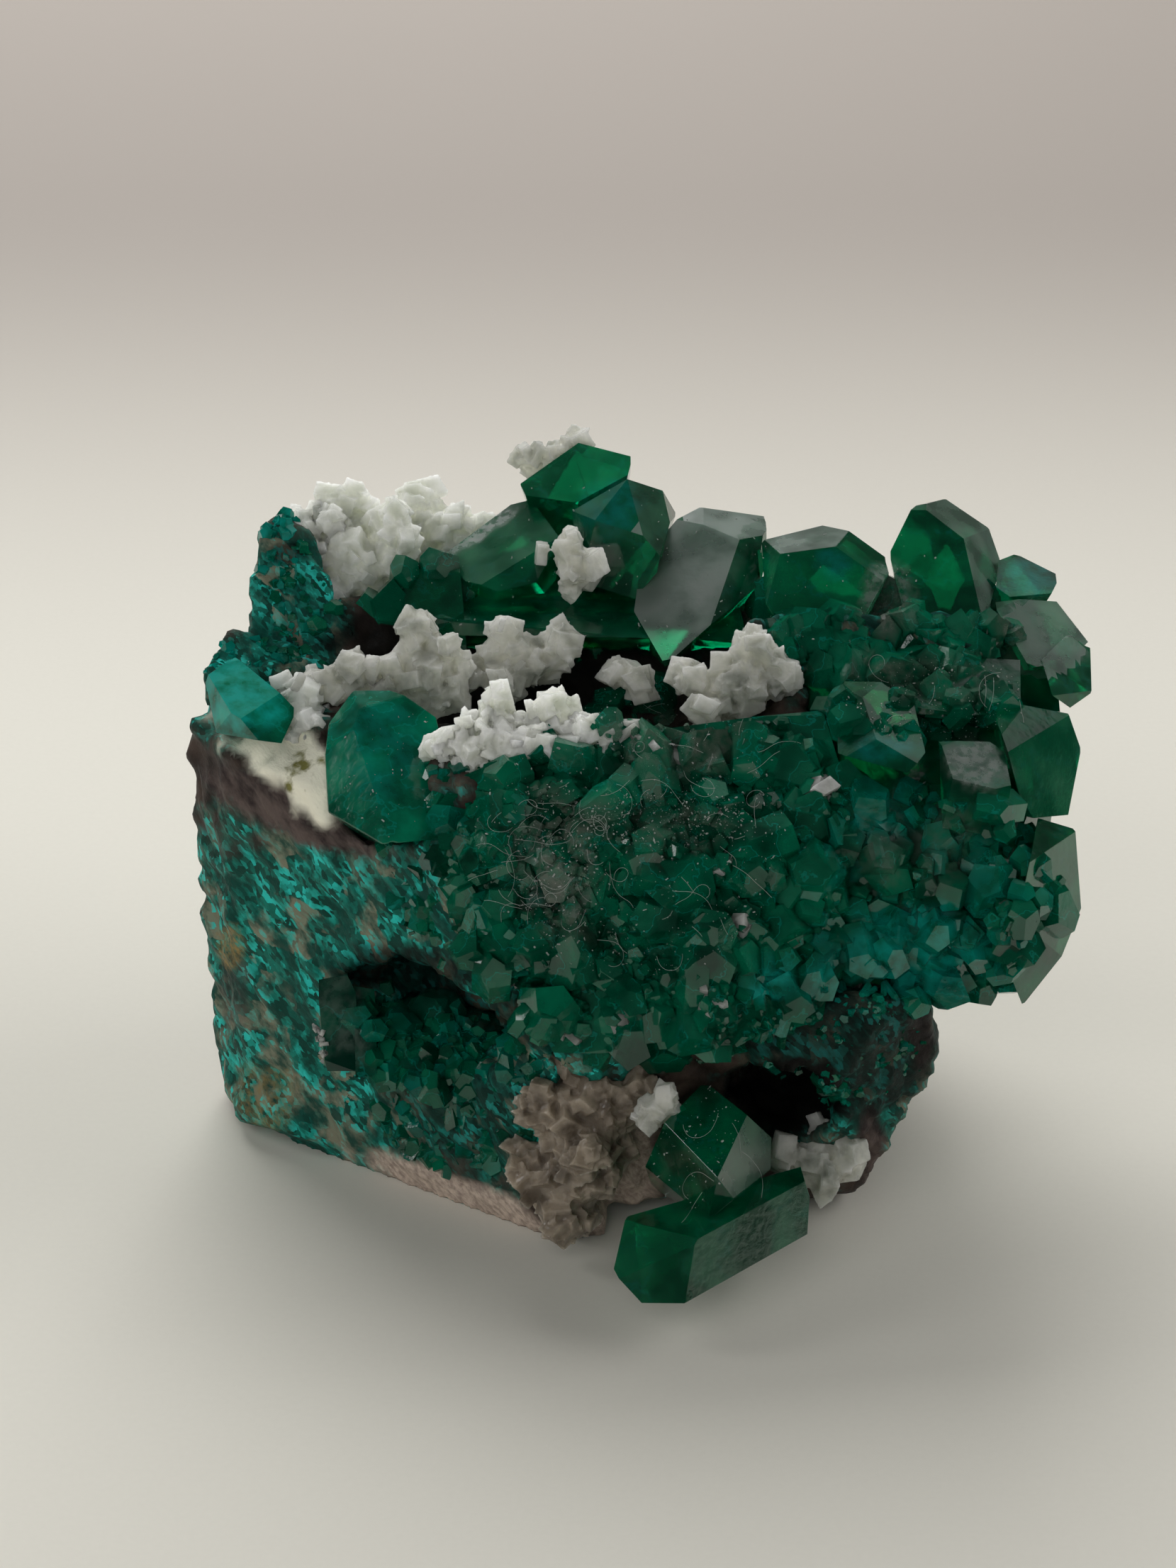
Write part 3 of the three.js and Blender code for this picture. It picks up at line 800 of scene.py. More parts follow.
@dataclass(frozen=True)
class Rock:
    """Copper-stained country rock, broken and weathered: dull brown under teal crusts and pale veins, with
    painted shade in its recesses.
    """

    name: str = "country_rock_broken_and_copper_stained"
    brown: str = "#4A3E37"
    dark: str = "#1E1916"
    crust: str = "#128271"
    crust_deep: str = "#073F35"
    crust_bright: str = "#2BC4B8"
    dusty: str = "#85836E"
    umber: str = "#5C504B"
    umber_dark: str = "#2C2323"
    cream: str = "#F0EDD9"
    olive: str = "#7C7A45"
    ochre: str = "#8F7A4A"
    # near black for painted shade in recesses and under overhangs
    soot: str = "#070706"
    rose: str = "#CDBBAA"
    rose_dark: str = "#95857A"
    stretch: float = 2.0
    broad: float = 1.3
    thin: float = 0.24
    sliver: float = 0.26
    lump: float = 1.9

    def material(self) -> bpy.types.Material:
        """The finish as a material."""
        made = Recipe(bpy.data.materials.new(self.name))
        space = made.add(Kind.SPACE)
        turn = math.radians(GRAIN_TURN)
        ways = {
            "X": (math.cos(turn) * Sight.right + math.sin(turn) * Sight.up) / self.stretch,
            "Y": math.cos(turn) * Sight.up - math.sin(turn) * Sight.right,
            "Z": Sight.toward,
        }
        drawn = {
            axis: made.add(Kind.DOT, {0: space, 1: tuple(way)}, operation="DOT_PRODUCT")
            for axis, way in ways.items()
        }
        fibre = made.add(Kind.JOIN, drawn)
        lumps = made.add(Kind.NOISE, {"Vector": space, "Scale": PER_MM / self.lump, "Detail": 6.0})
        share = made.add(Kind.RANGE, {"Value": lumps, "From Min": 0.35, "From Max": 0.65})
        body = made.add(Kind.MIX, {SHARE: share, UNDER: self.dark, OVER: self.brown}, data_type="RGBA")
        # Copper silicate in thin sheets along the grain: slivers of dark green, teal, dust and turquoise.
        # The brightest turquoise slivers are partly painted glints of tiny facets.
        waves = {"Vector": fibre, "Detail": 6.0, "Roughness": 0.6}
        broad = made.add(Kind.NOISE, {**waves, "Scale": PER_MM / self.broad})
        thin = made.add(Kind.NOISE, {**waves, "Scale": PER_MM / self.thin})
        warp = made.add(Kind.WARP, {"Vector": fibre, "Scale": PER_MM / self.thin, "Detail": 4.0})
        bent = made.add(Kind.SUM, {0: warp, 1: (self.thin * MM,) * 3, 2: fibre}, operation="MULTIPLY_ADD")
        sliver = made.add(Kind.DRAW, {"Vector": bent, "Scale": PER_MM / self.sliver})
        slab = made.add(Kind.DRAW, {"Vector": bent, "Scale": PER_MM / self.broad})
        teal = made.add(Kind.RANGE, {"Value": sliver, "From Min": 0.3, "From Max": 0.66})
        dust = made.add(Kind.RANGE, {"Value": slab, "From Min": 0.5, "From Max": 0.66, "To Max": 0.8})
        patch = made.add(Kind.RANGE, {"Value": lumps, "From Min": 0.44, "From Max": 0.56})
        dust = made.add(Kind.MATH, {0: dust, 1: patch}, operation="MULTIPLY")
        deep = made.add(Kind.RANGE, {"Value": broad, "From Min": 0.5, "From Max": 0.38, "To Max": 0.9})
        glint = made.add(Kind.RANGE, {"Value": sliver, "From Min": 0.6, "From Max": 0.72})
        patch = made.add(Kind.RANGE, {"Value": broad, "From Min": 0.46, "From Max": 0.62})
        glint = made.add(Kind.MATH, {0: glint, 1: patch}, operation="MULTIPLY")
        slivers = (
            (teal, self.crust), (dust, self.dusty), (deep, self.crust_deep), (glint, self.crust_bright),
        )
        green = self.crust_deep
        for share, colour in slivers:
            green = made.add(Kind.MIX, {SHARE: share, UNDER: green, OVER: colour}, data_type="RGBA")
        # Iron-stained fibres, the pale vein with olive spots, and the pale pinkish underside.
        share = made.add(Kind.RANGE, {"Value": broad, "From Min": 0.4, "From Max": 0.6})
        ends = {UNDER: self.umber_dark, OVER: self.umber}
        brown = made.add(Kind.MIX, {SHARE: share, **ends}, data_type="RGBA")
        spots = made.add(Kind.RANGE, {"Value": lumps, "From Min": 0.62, "From Max": 0.7})
        vein = made.add(Kind.MIX, {SHARE: spots, UNDER: self.cream, OVER: self.olive}, data_type="RGBA")
        fibres = made.add(Kind.RANGE, {"Value": thin, "From Min": 0.35, "From Max": 0.65})
        ends = {UNDER: self.rose, OVER: self.rose_dark}
        pink = made.add(Kind.MIX, {SHARE: fibres, **ends}, data_type="RGBA")
        # The last layer is painted shade: near black in recesses and under overhangs.
        layers = (
            (Mark.CRUST, green), (Mark.UMBER, brown), (Mark.CREAM, vein),
            (Mark.OCHRE, self.ochre), (Mark.ROSE, pink), (Mark.SOOT, self.soot),
        )
        for mark, colour in layers:
            cover = made.add(Kind.LAYER, attribute_name=mark.value)
            if mark is Mark.OCHRE:
                cover = made.add(Kind.MATH, {0: cover, 1: fibres}, operation="MULTIPLY")
            body = made.add(Kind.MIX, {SHARE: cover, UNDER: body, OVER: colour}, data_type="RGBA")
        relief = {"Height": thin, "Distance": 0.15 * MM, "Strength": 0.7}
        return made.finish({
            "Base Color": body,
            "Roughness": 0.55,
            "IOR": 1.55,
            "Specular IOR Level": 0.2,
            "Normal": made.add(Kind.BUMP, relief),
        })


@dataclass(frozen=True)
class Lint:
    """Cotton lint and rock flour: matt, white, and a little grey where it lies thick."""

    name: str = "cotton_lint_and_flour_loose"
    white: str = "#B4B7B2"
    grey: str = "#80857F"
    patch: float = 1.4

    def material(self) -> bpy.types.Material:
        """The finish as a material."""
        made = Recipe(bpy.data.materials.new(self.name))
        space = made.add(Kind.SPACE)
        share = made.add(Kind.NOISE, {"Vector": space, "Scale": PER_MM / self.patch})
        body = made.add(Kind.MIX, {SHARE: share, UNDER: self.white, OVER: self.grey}, data_type="RGBA")
        return made.finish({"Base Color": body, "Roughness": 0.9, "IOR": 1.45})


@dataclass(frozen=True)
class Paper:
    """Matt warm pale grey studio paper, with a painted falloff of the light that darkens it to grey toward
    the back.
    """

    name: str = "studio_paper_matt"
    pale: str = "#DFDCD1"
    fleck: str = "#DBD8CD"
    # the grey of the painted falloff of the light at the back
    dark: str = "#9A938C"
    painted_falloff: Span = (38.0, 165.0)
    felt: float = 0.4

    def material(self) -> bpy.types.Material:
        """The finish as a material."""
        made = Recipe(bpy.data.materials.new(self.name))
        space = made.add(Kind.SPACE)
        felt = made.add(Kind.NOISE, {"Vector": space, "Scale": PER_MM / self.felt})
        body = made.add(Kind.MIX, {SHARE: felt, UNDER: self.pale, OVER: self.fleck}, data_type="RGBA")
        # Painted falloff of the light: the paper darkens toward the back.
        back = made.add(Kind.DEPTH, {"Vector": space})
        reach = {"Value": back, "From Min": self.painted_falloff[0] * MM, "From Max": self.painted_falloff[1] * MM}
        share = made.add(Kind.RANGE, reach, interpolation_type="SMOOTHSTEP")
        body = made.add(Kind.MIX, {SHARE: share, UNDER: body, OVER: self.dark}, data_type="RGBA")
        return made.finish({"Base Color": body, "Roughness": 0.55, "IOR": 1.45})


CLOUDS_FROST_AND_PAINTED_GLINT = (
    Stain(Mark.CLOUD, Oval((1.1, 15.6), (2.0, 1.7)), 0.8),
    # Painted highlight: a bright turquoise strip of internal reflection on the middle crest crystal.
    Stain(Mark.CLOUD, Oval((14.0, 12.4), (1.3, 0.8), -25)),
    Stain(Mark.FROST, Oval((16.8, 10.6), (1.5, 2.0))),
    Stain(Mark.FROST, Oval((5.0, 2.4), (4.0, 2.0)), 0.6),
    Stain(Mark.FROST, Oval((-6.2, 14.6), (2.6, 0.8), 32), 0.9),
    Stain(Mark.CLOUD, Oval((24.8, 11.6), (1.7, 1.2))),
    Stain(Mark.FROST, Oval((25.6, 8.6), (2.6, 1.8), -25), 0.7),
    Stain(Mark.FROST, Oval((20.6, 5.8), (3.8, 1.4)), 0.3),
    Stain(Mark.FROST, Oval((15.8, 6.6), (1.2, 0.6)), 0.8),
    Stain(Mark.CLOUD, Oval((16.9, 2.0), (1.9, 0.9))),
    Stain(Mark.CLOUD, Oval((16.6, -1.8), (2.0, 1.2)), 0.6),
    Stain(Mark.FROST, Oval((21.9, 1.1), (2.0, 1.4)), 0.9),
    Stain(Mark.FROST, Oval((16.6, -4.0), (1.2, 2.3)), 0.4),
    Stain(Mark.FROST, Oval((20.2, -3.8), (1.8, 2.4)), 0.3),
    Stain(Mark.CLOUD, Oval((18.8, -9.2), (4.0, 2.6)), 0.7),
    Stain(Mark.CLOUD, Oval((10.0, -11.5), (1.3, 0.7))),
    Stain(Mark.CLOUD, Oval((11.1, -10.3), (0.7, 0.5))),
    Stain(Mark.CLOUD, Oval((15.2, -11.4), (3.6, 2.0)), 0.5),
    Stain(Mark.CLOUD, Oval((-12.0, 2.2), (2.8, 3.4)), 0.25),
    Stain(Mark.CLOUD, Oval((-20.0, 5.2), (3.2, 3.0))),
    Stain(Mark.CLOUD, Oval((-17.5, 14.7), (1.6, 1.2))),
    Stain(Mark.FROST, Oval((-1.8, -4.6), (2.4, 4.2)), 0.75),
    Stain(Mark.FROST, Oval((4.4, -2.6), (4.0, 1.4)), 0.5),
    Stain(Mark.FROST, Oval((-14.2, -13.2), (1.3, 2.6)), 0.5),
)
# Faces of one direction painted grey as painted reflection of the light above, some of them etched too;
# the tone faces are painted lighter as painted light.
ETCHED_AND_PAINTED_LIGHT_FACES = (
    Facet(Mark.DULL, Oval((5.4, 11.2), (4.0, 4.6)), (-0.21, 0.59, 0.78), 0.95),
    Facet(Mark.TONE, Oval((25.9, 0.8), (3.0, 4.0)), (0.75, 0.12, 0.65), 0.9),
    Facet(Mark.TONE, Oval((25.1, -2.9), (3.0, 3.0)), (0.91, 0.00, 0.42), 0.5),
    Facet(Mark.DULL, Oval((8.3, 14.7), (3.0, 1.6)), (0.13, 0.88, 0.45), 0.8),
    Facet(Mark.DULL, Oval((3.6, 15.3), (2.0, 2.4)), (0.63, 0.56, 0.55), 0.25),
    Facet(Mark.DULL, Oval((12.4, 13.8), (4.0, 1.6)), (-0.09, 0.91, 0.40), 0.55),
    Facet(Mark.DULL, Oval((22.3, 12.2), (1.8, 4.4)), (0.74, 0.41, 0.53), 0.7),
    Facet(Mark.DULL, Oval((20.7, 15.0), (2.4, 1.6)), (0.45, 0.78, 0.44), 0.75),
    Facet(Mark.DULL, Oval((25.6, 8.2), (2.6, 2.2)), (0.35, 0.60, 0.72), 0.7),
    Facet(Mark.DULL, Oval((9.0, -21.1), (2.8, 3.4)), (0.89, 0.13, 0.44), 0.55),
    Facet(Mark.DULL, Oval((9.1, -25.7), (5.0, 4.0)), (0.62, 0.00, 0.78), 0.2),
    Facet(Mark.TONE, Oval((13.1, 10.9), (4.0, 3.6)), (0.02, 0.39, 0.92), 0.9),
    Facet(Mark.TONE, Oval((-4.9, 13.6), (4.0, 3.4)), (-0.25, 0.77, 0.59), 0.6),
    Facet(Mark.TONE, Oval((26.3, -6.2), (3.0, 6.0)), (0.84, -0.10, 0.54), 0.9),
    Facet(Mark.TONE, Oval((-10.2, 0.9), (5.0, 6.0)), (0.29, 0.56, 0.77), 0.1),
    Facet(Mark.TONE, Oval((-19.5, 5.4), (3.0, 3.0)), (0.06, 0.78, 0.63), 0.9),
    Facet(Mark.TONE, Oval((-0.6, 17.5), (4.0, 3.0)), (-0.15, 0.65, 0.75), 0.5),
    Facet(Mark.TONE, Oval((3.3, -26.1), (4.0, 4.0)), (-0.38, 0.57, 0.73), 0.9),
)


@dataclass
class LargeCrystals:
    """The large dioptase prisms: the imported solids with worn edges."""

    solids: Solids
    finish: Dioptase
    cloudy_finish: Dioptase
    cloudy: tuple[str, ...] = ("left_front_crystal", "left_knob_crystal")
    chamfer: float = 0.07
    sharp: float = math.radians(22.0)
    facet: float = 0.7
    rounds: int = 4
    weld: float = 1e-3
    flat: float = math.radians(1.0)
    tone: float = 0.12
    alike: float = math.cos(math.radians(18.0))
    nodes: tuple[str, ...] = (
        "ridge_crystals", "crest_crystal_middle", "crest_crystal_right", "right_cluster",
        "left_front_crystal", "left_knob_crystal", "lower_crystals",
    )

    def worn(self, body: Body) -> Body:
        """A solid with its edges worn off and its faces cut up finely enough to hold layers.

        Args:
            body: The solid.

        Returns:
            The worn one.
        """
        shape = bmesh.new()
        corners = [shape.verts.new(point) for point in body.points]
        for one, two, three in body.faces:
            shape.faces.new((corners[one], corners[two], corners[three]))
        bmesh.ops.remove_doubles(shape, verts=shape.verts, dist=self.weld)
        bmesh.ops.recalc_face_normals(shape, faces=shape.faces)
        bmesh.ops.dissolve_limit(shape, angle_limit=self.flat, verts=shape.verts, edges=shape.edges)
        edges = [edge for edge in shape.edges if edge.is_manifold and edge.calc_face_angle(0) > self.sharp]
        cut = {"offset": self.chamfer, "segments": 1, "affect": "EDGES", "clamp_overlap": True}
        bmesh.ops.bevel(shape, geom=edges, **cut)
        bmesh.ops.triangulate(shape, faces=shape.faces)
        for _ in range(self.rounds):
            long = [edge for edge in shape.edges if edge.calc_length() > self.facet]
            bmesh.ops.subdivide_edges(shape, edges=long, cuts=1)
            bmesh.ops.triangulate(shape, faces=shape.faces)
        mesh = bpy.data.meshes.new("worn")
        shape.to_mesh(mesh)
        shape.free()
        made = body_of(mesh)
        bpy.data.meshes.remove(mesh)
        return Body(made.points * MM, made.faces)

    def dress(self, body: Body) -> None:
        """Lays the clouds, the frost and the painted glint over a worn solid, and paints its grey faces
        (painted reflection, some of them etched) and its lighter faces (painted light).

        Args:
            body: The worn solid.
        """
        body.stain(CLOUDS_FROST_AND_PAINTED_GLINT)
        ways = unit(body.spans())
        places = Sight.places(body.points[body.faces].mean(axis=1))
        body.layers[Mark.TONE] = np.full(len(ways), self.tone)
        body.layers[Mark.DULL] = np.zeros(len(ways))
        for each in ETCHED_AND_PAINTED_LIGHT_FACES:
            way = unit(np.array(each.way) @ np.stack([Sight.right, Sight.up, Sight.toward]))
            chosen = (ways @ way > self.alike) & (each.oval.reach(places) < 1)
            body.layers[each.mark][chosen] = each.strength

    def build(self) -> Body:
        """Makes one piece for each node and dresses it.

        Returns:
            All of them as one body without layers.
        """
        clear, cloudy = self.finish.material(), self.cloudy_finish.material()
        bodies = []
        for node in self.nodes:
            body = self.worn(self.solids.bodies[node])
            self.dress(body)
            piece = body.piece(f"{node}_worn", cloudy if node in self.cloudy else clear)
            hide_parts(node)
            bodies.append(Body(body.points, body.faces))
        return merged(bodies)


@dataclass(frozen=True)
class Growth:
    """A stretch of small crystals in the front view."""

    oval: Oval
    count: int
    radius: Span
    show: float = 0.8
    wander: float = 0.75
    cloud: float = 0.0
    stretch: float = 2.4


@dataclass
class Druse:
    """The crusts of small dioptase crystals on the front slope, the right end and the left side."""

    solids: Solids
    finish: Dioptase
    ground: tuple[str, ...] = ("matrix", "front_druse", "right_cluster", "cavity_crust")
    behind: tuple[tuple[Place, float], ...] = (
        ((10.4, 12.0), 1.5), ((11.2, 9.8), 1.4), ((16.9, 11.8), 2.2), ((15.8, 10.0), 1.8),
        ((22.6, 11.6), 1.3), ((22.0, 9.6), 1.2), ((-7.2, 11.8), 1.4), ((-8.6, 10.4), 1.2),
        ((-11.0, 11.6), 1.9), ((-12.6, 10.8), 1.4), ((-10.3, 12.9), 1.2), ((-8.2, 13.1), 1.2),
    )
    behind_depth: float = -4.4
    behind_way: tuple[float, float, float] = (0.0, -0.1, 1.0)
    behind_wander: float = 0.2
    behind_stretch: float = 4.0
    base_tone: float = 0.2
    skew: int = 2
    nod: float = 0.25  # of every crystal toward the eye
    rise: Span = (0.5, 1.4)
    flecked: float = 0.5
    growths: tuple[Growth, ...] = (
        Growth(Oval((4.0, -5.2), (11.8, 10.6)), 420, (0.5, 1.7)),
        Growth(Oval((4.0, -5.2), (11.8, 10.6)), 900, (0.15, 0.5), show=1.4),
        Growth(Oval((-6.6, -4.8), (4.6, 7.2), 20), 240, (0.35, 1.1), cloud=0.2),
        Growth(Oval((19.4, -6.4), (7.4, 6.2)), 240, (0.4, 1.5), cloud=0.25),
        Growth(Oval((18.4, 5.0), (5.0, 2.6)), 60, (0.4, 1.2)),
        Growth(Oval((16.6, 8.2), (7.4, 2.0)), 170, (0.5, 1.5)),
        Growth(Oval((-2.4, 9.4), (5.4, 2.6)), 130, (0.3, 0.9)),
        Growth(Oval((-18.6, 6.0), (3.8, 2.6)), 150, (0.2, 0.6), cloud=0.6),
        Growth(Oval((-7.0, -17.4), (5.0, 4.4)), 360, (0.3, 0.9), cloud=0.3),
        Growth(Oval((14.4, -14.8), (4.6, 3.6)), 420, (0.15, 0.4), cloud=0.25, stretch=6.0),
        Growth(Oval((-16.6, 10.6), (2.0, 3.8)), 110, (0.2, 0.6), cloud=0.6),
        Growth(Oval((-17.6, 14.8), (1.2, 0.9)), 90, (0.2, 0.6), show=1.2, cloud=1.0),
        Growth(Oval((-11.8, -13.4), (1.8, 2.2)), 24, (0.5, 1.2), cloud=0.2),
    )

    def grow(self, each: Growth, rng: np.random.Generator) -> Body | None:
        """The crystals of one stretch.

        Args:
            each: The stretch.
            rng: Where chance comes from.

        Returns:
            Their body, or nothing where no ground shows.
        """
        points, normals = self.solids.look(each.oval.scatter(each.count, rng), self.ground)
        count = len(points)
        if not count:
            return None
        radii = skewed(each.radius, self.skew, count, rng)
        axes = unit(normals + each.wander * unit(rng.normal(size=(count, 3))) + self.nod * Sight.toward)
        tips = points + axes * (each.show * radii * rng.uniform(*self.rise, count))[:, None]
        body = Prism.grown(tips, axes, radii, each.stretch * radii, rng)
        body.stain(CLOUDS_FROST_AND_PAINTED_GLINT)
        flecks = each.cloud * (np.repeat(rng.random(count), Prism.corners) < self.flecked)
        body.layers[Mark.CLOUD] = np.maximum(body.layers[Mark.CLOUD], flecks)
        return body

    def ridge(self, rng: np.random.Generator) -> Body:
        """The small prisms that stand behind the crest, where its large ones leave gaps.

        Args:
            rng: Where chance comes from.

        Returns:
            All of them as one body.
        """
        tips = np.array([Sight.seen(place, self.behind_depth) for place, _ in self.behind])
        radii = np.array([radius for _, radius in self.behind])
        axes = unit(np.array(self.behind_way) + self.behind_wander * rng.normal(size=(len(tips), 3)))
        body = Prism.grown(tips, axes, radii, self.behind_stretch * radii, rng)
        body.stain(CLOUDS_FROST_AND_PAINTED_GLINT)
        return body

    def build(self) -> Body:
        """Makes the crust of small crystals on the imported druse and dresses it.

        Returns:
            The crust.
        """
        rng = np.random.default_rng(3)
        base = self.solids.bodies["front_druse"]
        base.layers[Mark.TONE] = np.full(len(base.points), self.base_tone)
        small = [body for body in (self.grow(each, rng) for each in self.growths) if body]
        crust = merged([base, *small, self.ridge(rng)])
        piece = crust.piece("dioptase_druse", self.finish.material())
        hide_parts("front_druse")
        return crust


@dataclass
class CavityCrystals:
    """The crystals that line the front cavity, with a darker finish as painted shade of the cavity."""

    solids: Solids
    finish: Dioptase
    tone: float = 0.1

    def build(self) -> None:
        """Makes the lining and dresses it."""
        body = self.solids.bodies["cavity_crust"]
        body.layers[Mark.TONE] = np.full(len(body.points), self.tone)
        body.stain(CLOUDS_FROST_AND_PAINTED_GLINT)
        piece = body.piece("cavity_crystals", self.finish.material())
        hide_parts("cavity_crust")


@dataclass
class LooseLint:
    """Cotton fibres and white grains that lie on the crystals."""

    finish: Lint
    thick: float = 0.02
    step: float = 0.16
    steps: tuple[int, int] = (5, 22)
    curl: float = 0.10
    ease: float = 0.6
    drop: float = 4.0
    bridge: int = 2  # steps each way that a fibre spans over a dip
    clear: float = 0.06
    grain_size: Span = (0.02, 0.09)
    grain_skew: int = 3
    grain_length: Span = (0.6, 2.4)
    grain_lean: float = 0.5
    beds: tuple[tuple[Oval, int], ...] = (
        (Oval((2.0, -1.6), (8.4, 9.0)), 55),
        (Oval((-1.6, -4.6), (3.6, 4.6)), 30),
        (Oval((20.0, 4.6), (5.0, 2.6)), 8),
        (Oval((6.0, -20.0), (3.0, 3.0)), 6),
    )
    dust: tuple[tuple[Oval, int], ...] = (
        (Oval((2.4, -2.2), (8.8, 9.0)), 800),
        (Oval((-1.6, -4.4), (2.6, 4.4)), 350),
        (Oval((4.6, -2.0), (5.0, 1.6)), 400),
        (Oval((19.6, 4.8), (5.2, 2.4)), 260),
        (Oval((5.6, -20.0), (3.0, 4.0)), 160),
        (Oval((0.0, 12.0), (20.0, 5.0)), 300),
        (Oval((-11.0, 1.0), (3.0, 4.0)), 60),
    )

    def path(self, start: np.ndarray, ground: BVHTree, rng: np.random.Generator) -> np.ndarray | None:
        """The line of one fibre, bridging the dips of the ground.

        Args:
            start: A place in the view.
            ground: What it lies on.
            rng: Where chance comes from.

        Returns:
            Its points, or nothing where it would hang over the edge.
        """
        count = int(rng.integers(*self.steps))
        bend = np.cumsum(rng.normal(0.0, self.curl, count)) + rng.normal(0.0, self.curl)
        turns = rng.uniform(0, 2 * math.pi) + np.cumsum(bend * self.ease)
        strides = self.step * np.stack([np.cos(turns), np.sin(turns)], axis=1)
        places = start + np.cumsum(strides, axis=0)
        points = [met(ground, place)[0] for place in places]
        if any(point is None for point in points):
            return None
        depths = (np.array(points) - Sight.middle) @ Sight.toward
        if depths.max() - depths.min() > self.drop:
            return None
        reach = self.bridge
        high = np.array([depths[max(0, i - reach):i + reach + 1].max() for i in range(count)])
        window = np.full(2 * reach + 1, 1 / (2 * reach + 1))
        soft = np.convolve(np.pad(high, reach, mode="edge"), window, mode="valid") + self.clear
        return np.array([Sight.seen((x, y), d) for (x, y), d in zip(places, soft)])

    def tube(self, line: np.ndarray) -> Body:
        """A three-sided tube along a line.

        Args:
            line: The points along its middle.

        Returns:
            The tube, closed at both ends.
        """
        ways = unit(np.gradient(line, axis=0))
        turn = frames(ways, np.zeros(len(line)))
        ring = np.radians([90, 210, 330])
        around = np.stack([np.cos(ring), np.sin(ring)], axis=1) * self.thick / 2
        points = line[:, None] + np.einsum("ki,nij->nkj", around, turn[:, :2])
        quads = [
            (3 * i + a, 3 * i + (a + 1) % 3, 3 * i + 3 + (a + 1) % 3, 3 * i + 3 + a)
            for i in range(len(line) - 1) for a in range(3)
        ]
        last = 3 * (len(line) - 1)
        return Body(points.reshape(-1, 3), fans([*quads, (2, 1, 0), (last, last + 1, last + 2)]))

    def grains(self, ground: BVHTree, rng: np.random.Generator) -> Body:
        """The white grains.

        Args:
            ground: What they lie on.
            rng: Where chance comes from.

        Returns:
            All of them as one body.
        """
        places = np.concatenate([oval.scatter(count, rng) for oval, count in self.dust])
        hits = [hit for hit in (met(ground, place) for place in places) if hit[0] is not None]
        points = np.array([point for point, _, _ in hits])
        normals = np.array([normal for _, normal, _ in hits])
        count = len(hits)
        axes = unit(self.grain_lean * normals + unit(rng.normal(size=(count, 3))))
        widths = skewed(self.grain_size, self.grain_skew, count, rng)
        heights = widths * rng.uniform(*self.grain_length, count)
        return Rhomb.grown(points, axes, widths, heights, rng)

    def build(self, bed: Body) -> None:
        """Strews the fibres and the grains.

        Args:
            bed: What they lie on.
        """
        rng = np.random.default_rng(19)
        ground = bed.tree()
        starts = np.concatenate([oval.scatter(count, rng) for oval, count in self.beds])
        lines = [self.path(start, ground, rng) for start in starts]
        loose = [self.tube(line) for line in lines if line is not None]
        loose.append(self.grains(ground, rng))
        merged(loose).piece("cotton_lint_and_dust", self.finish.material())


@dataclass(frozen=True)
class Tuft:
    """A heap of calcite rhombs in the front view."""

    oval: Oval
    count: int
    width: Span = (0.35, 1.1)
    heap: float = 0.8


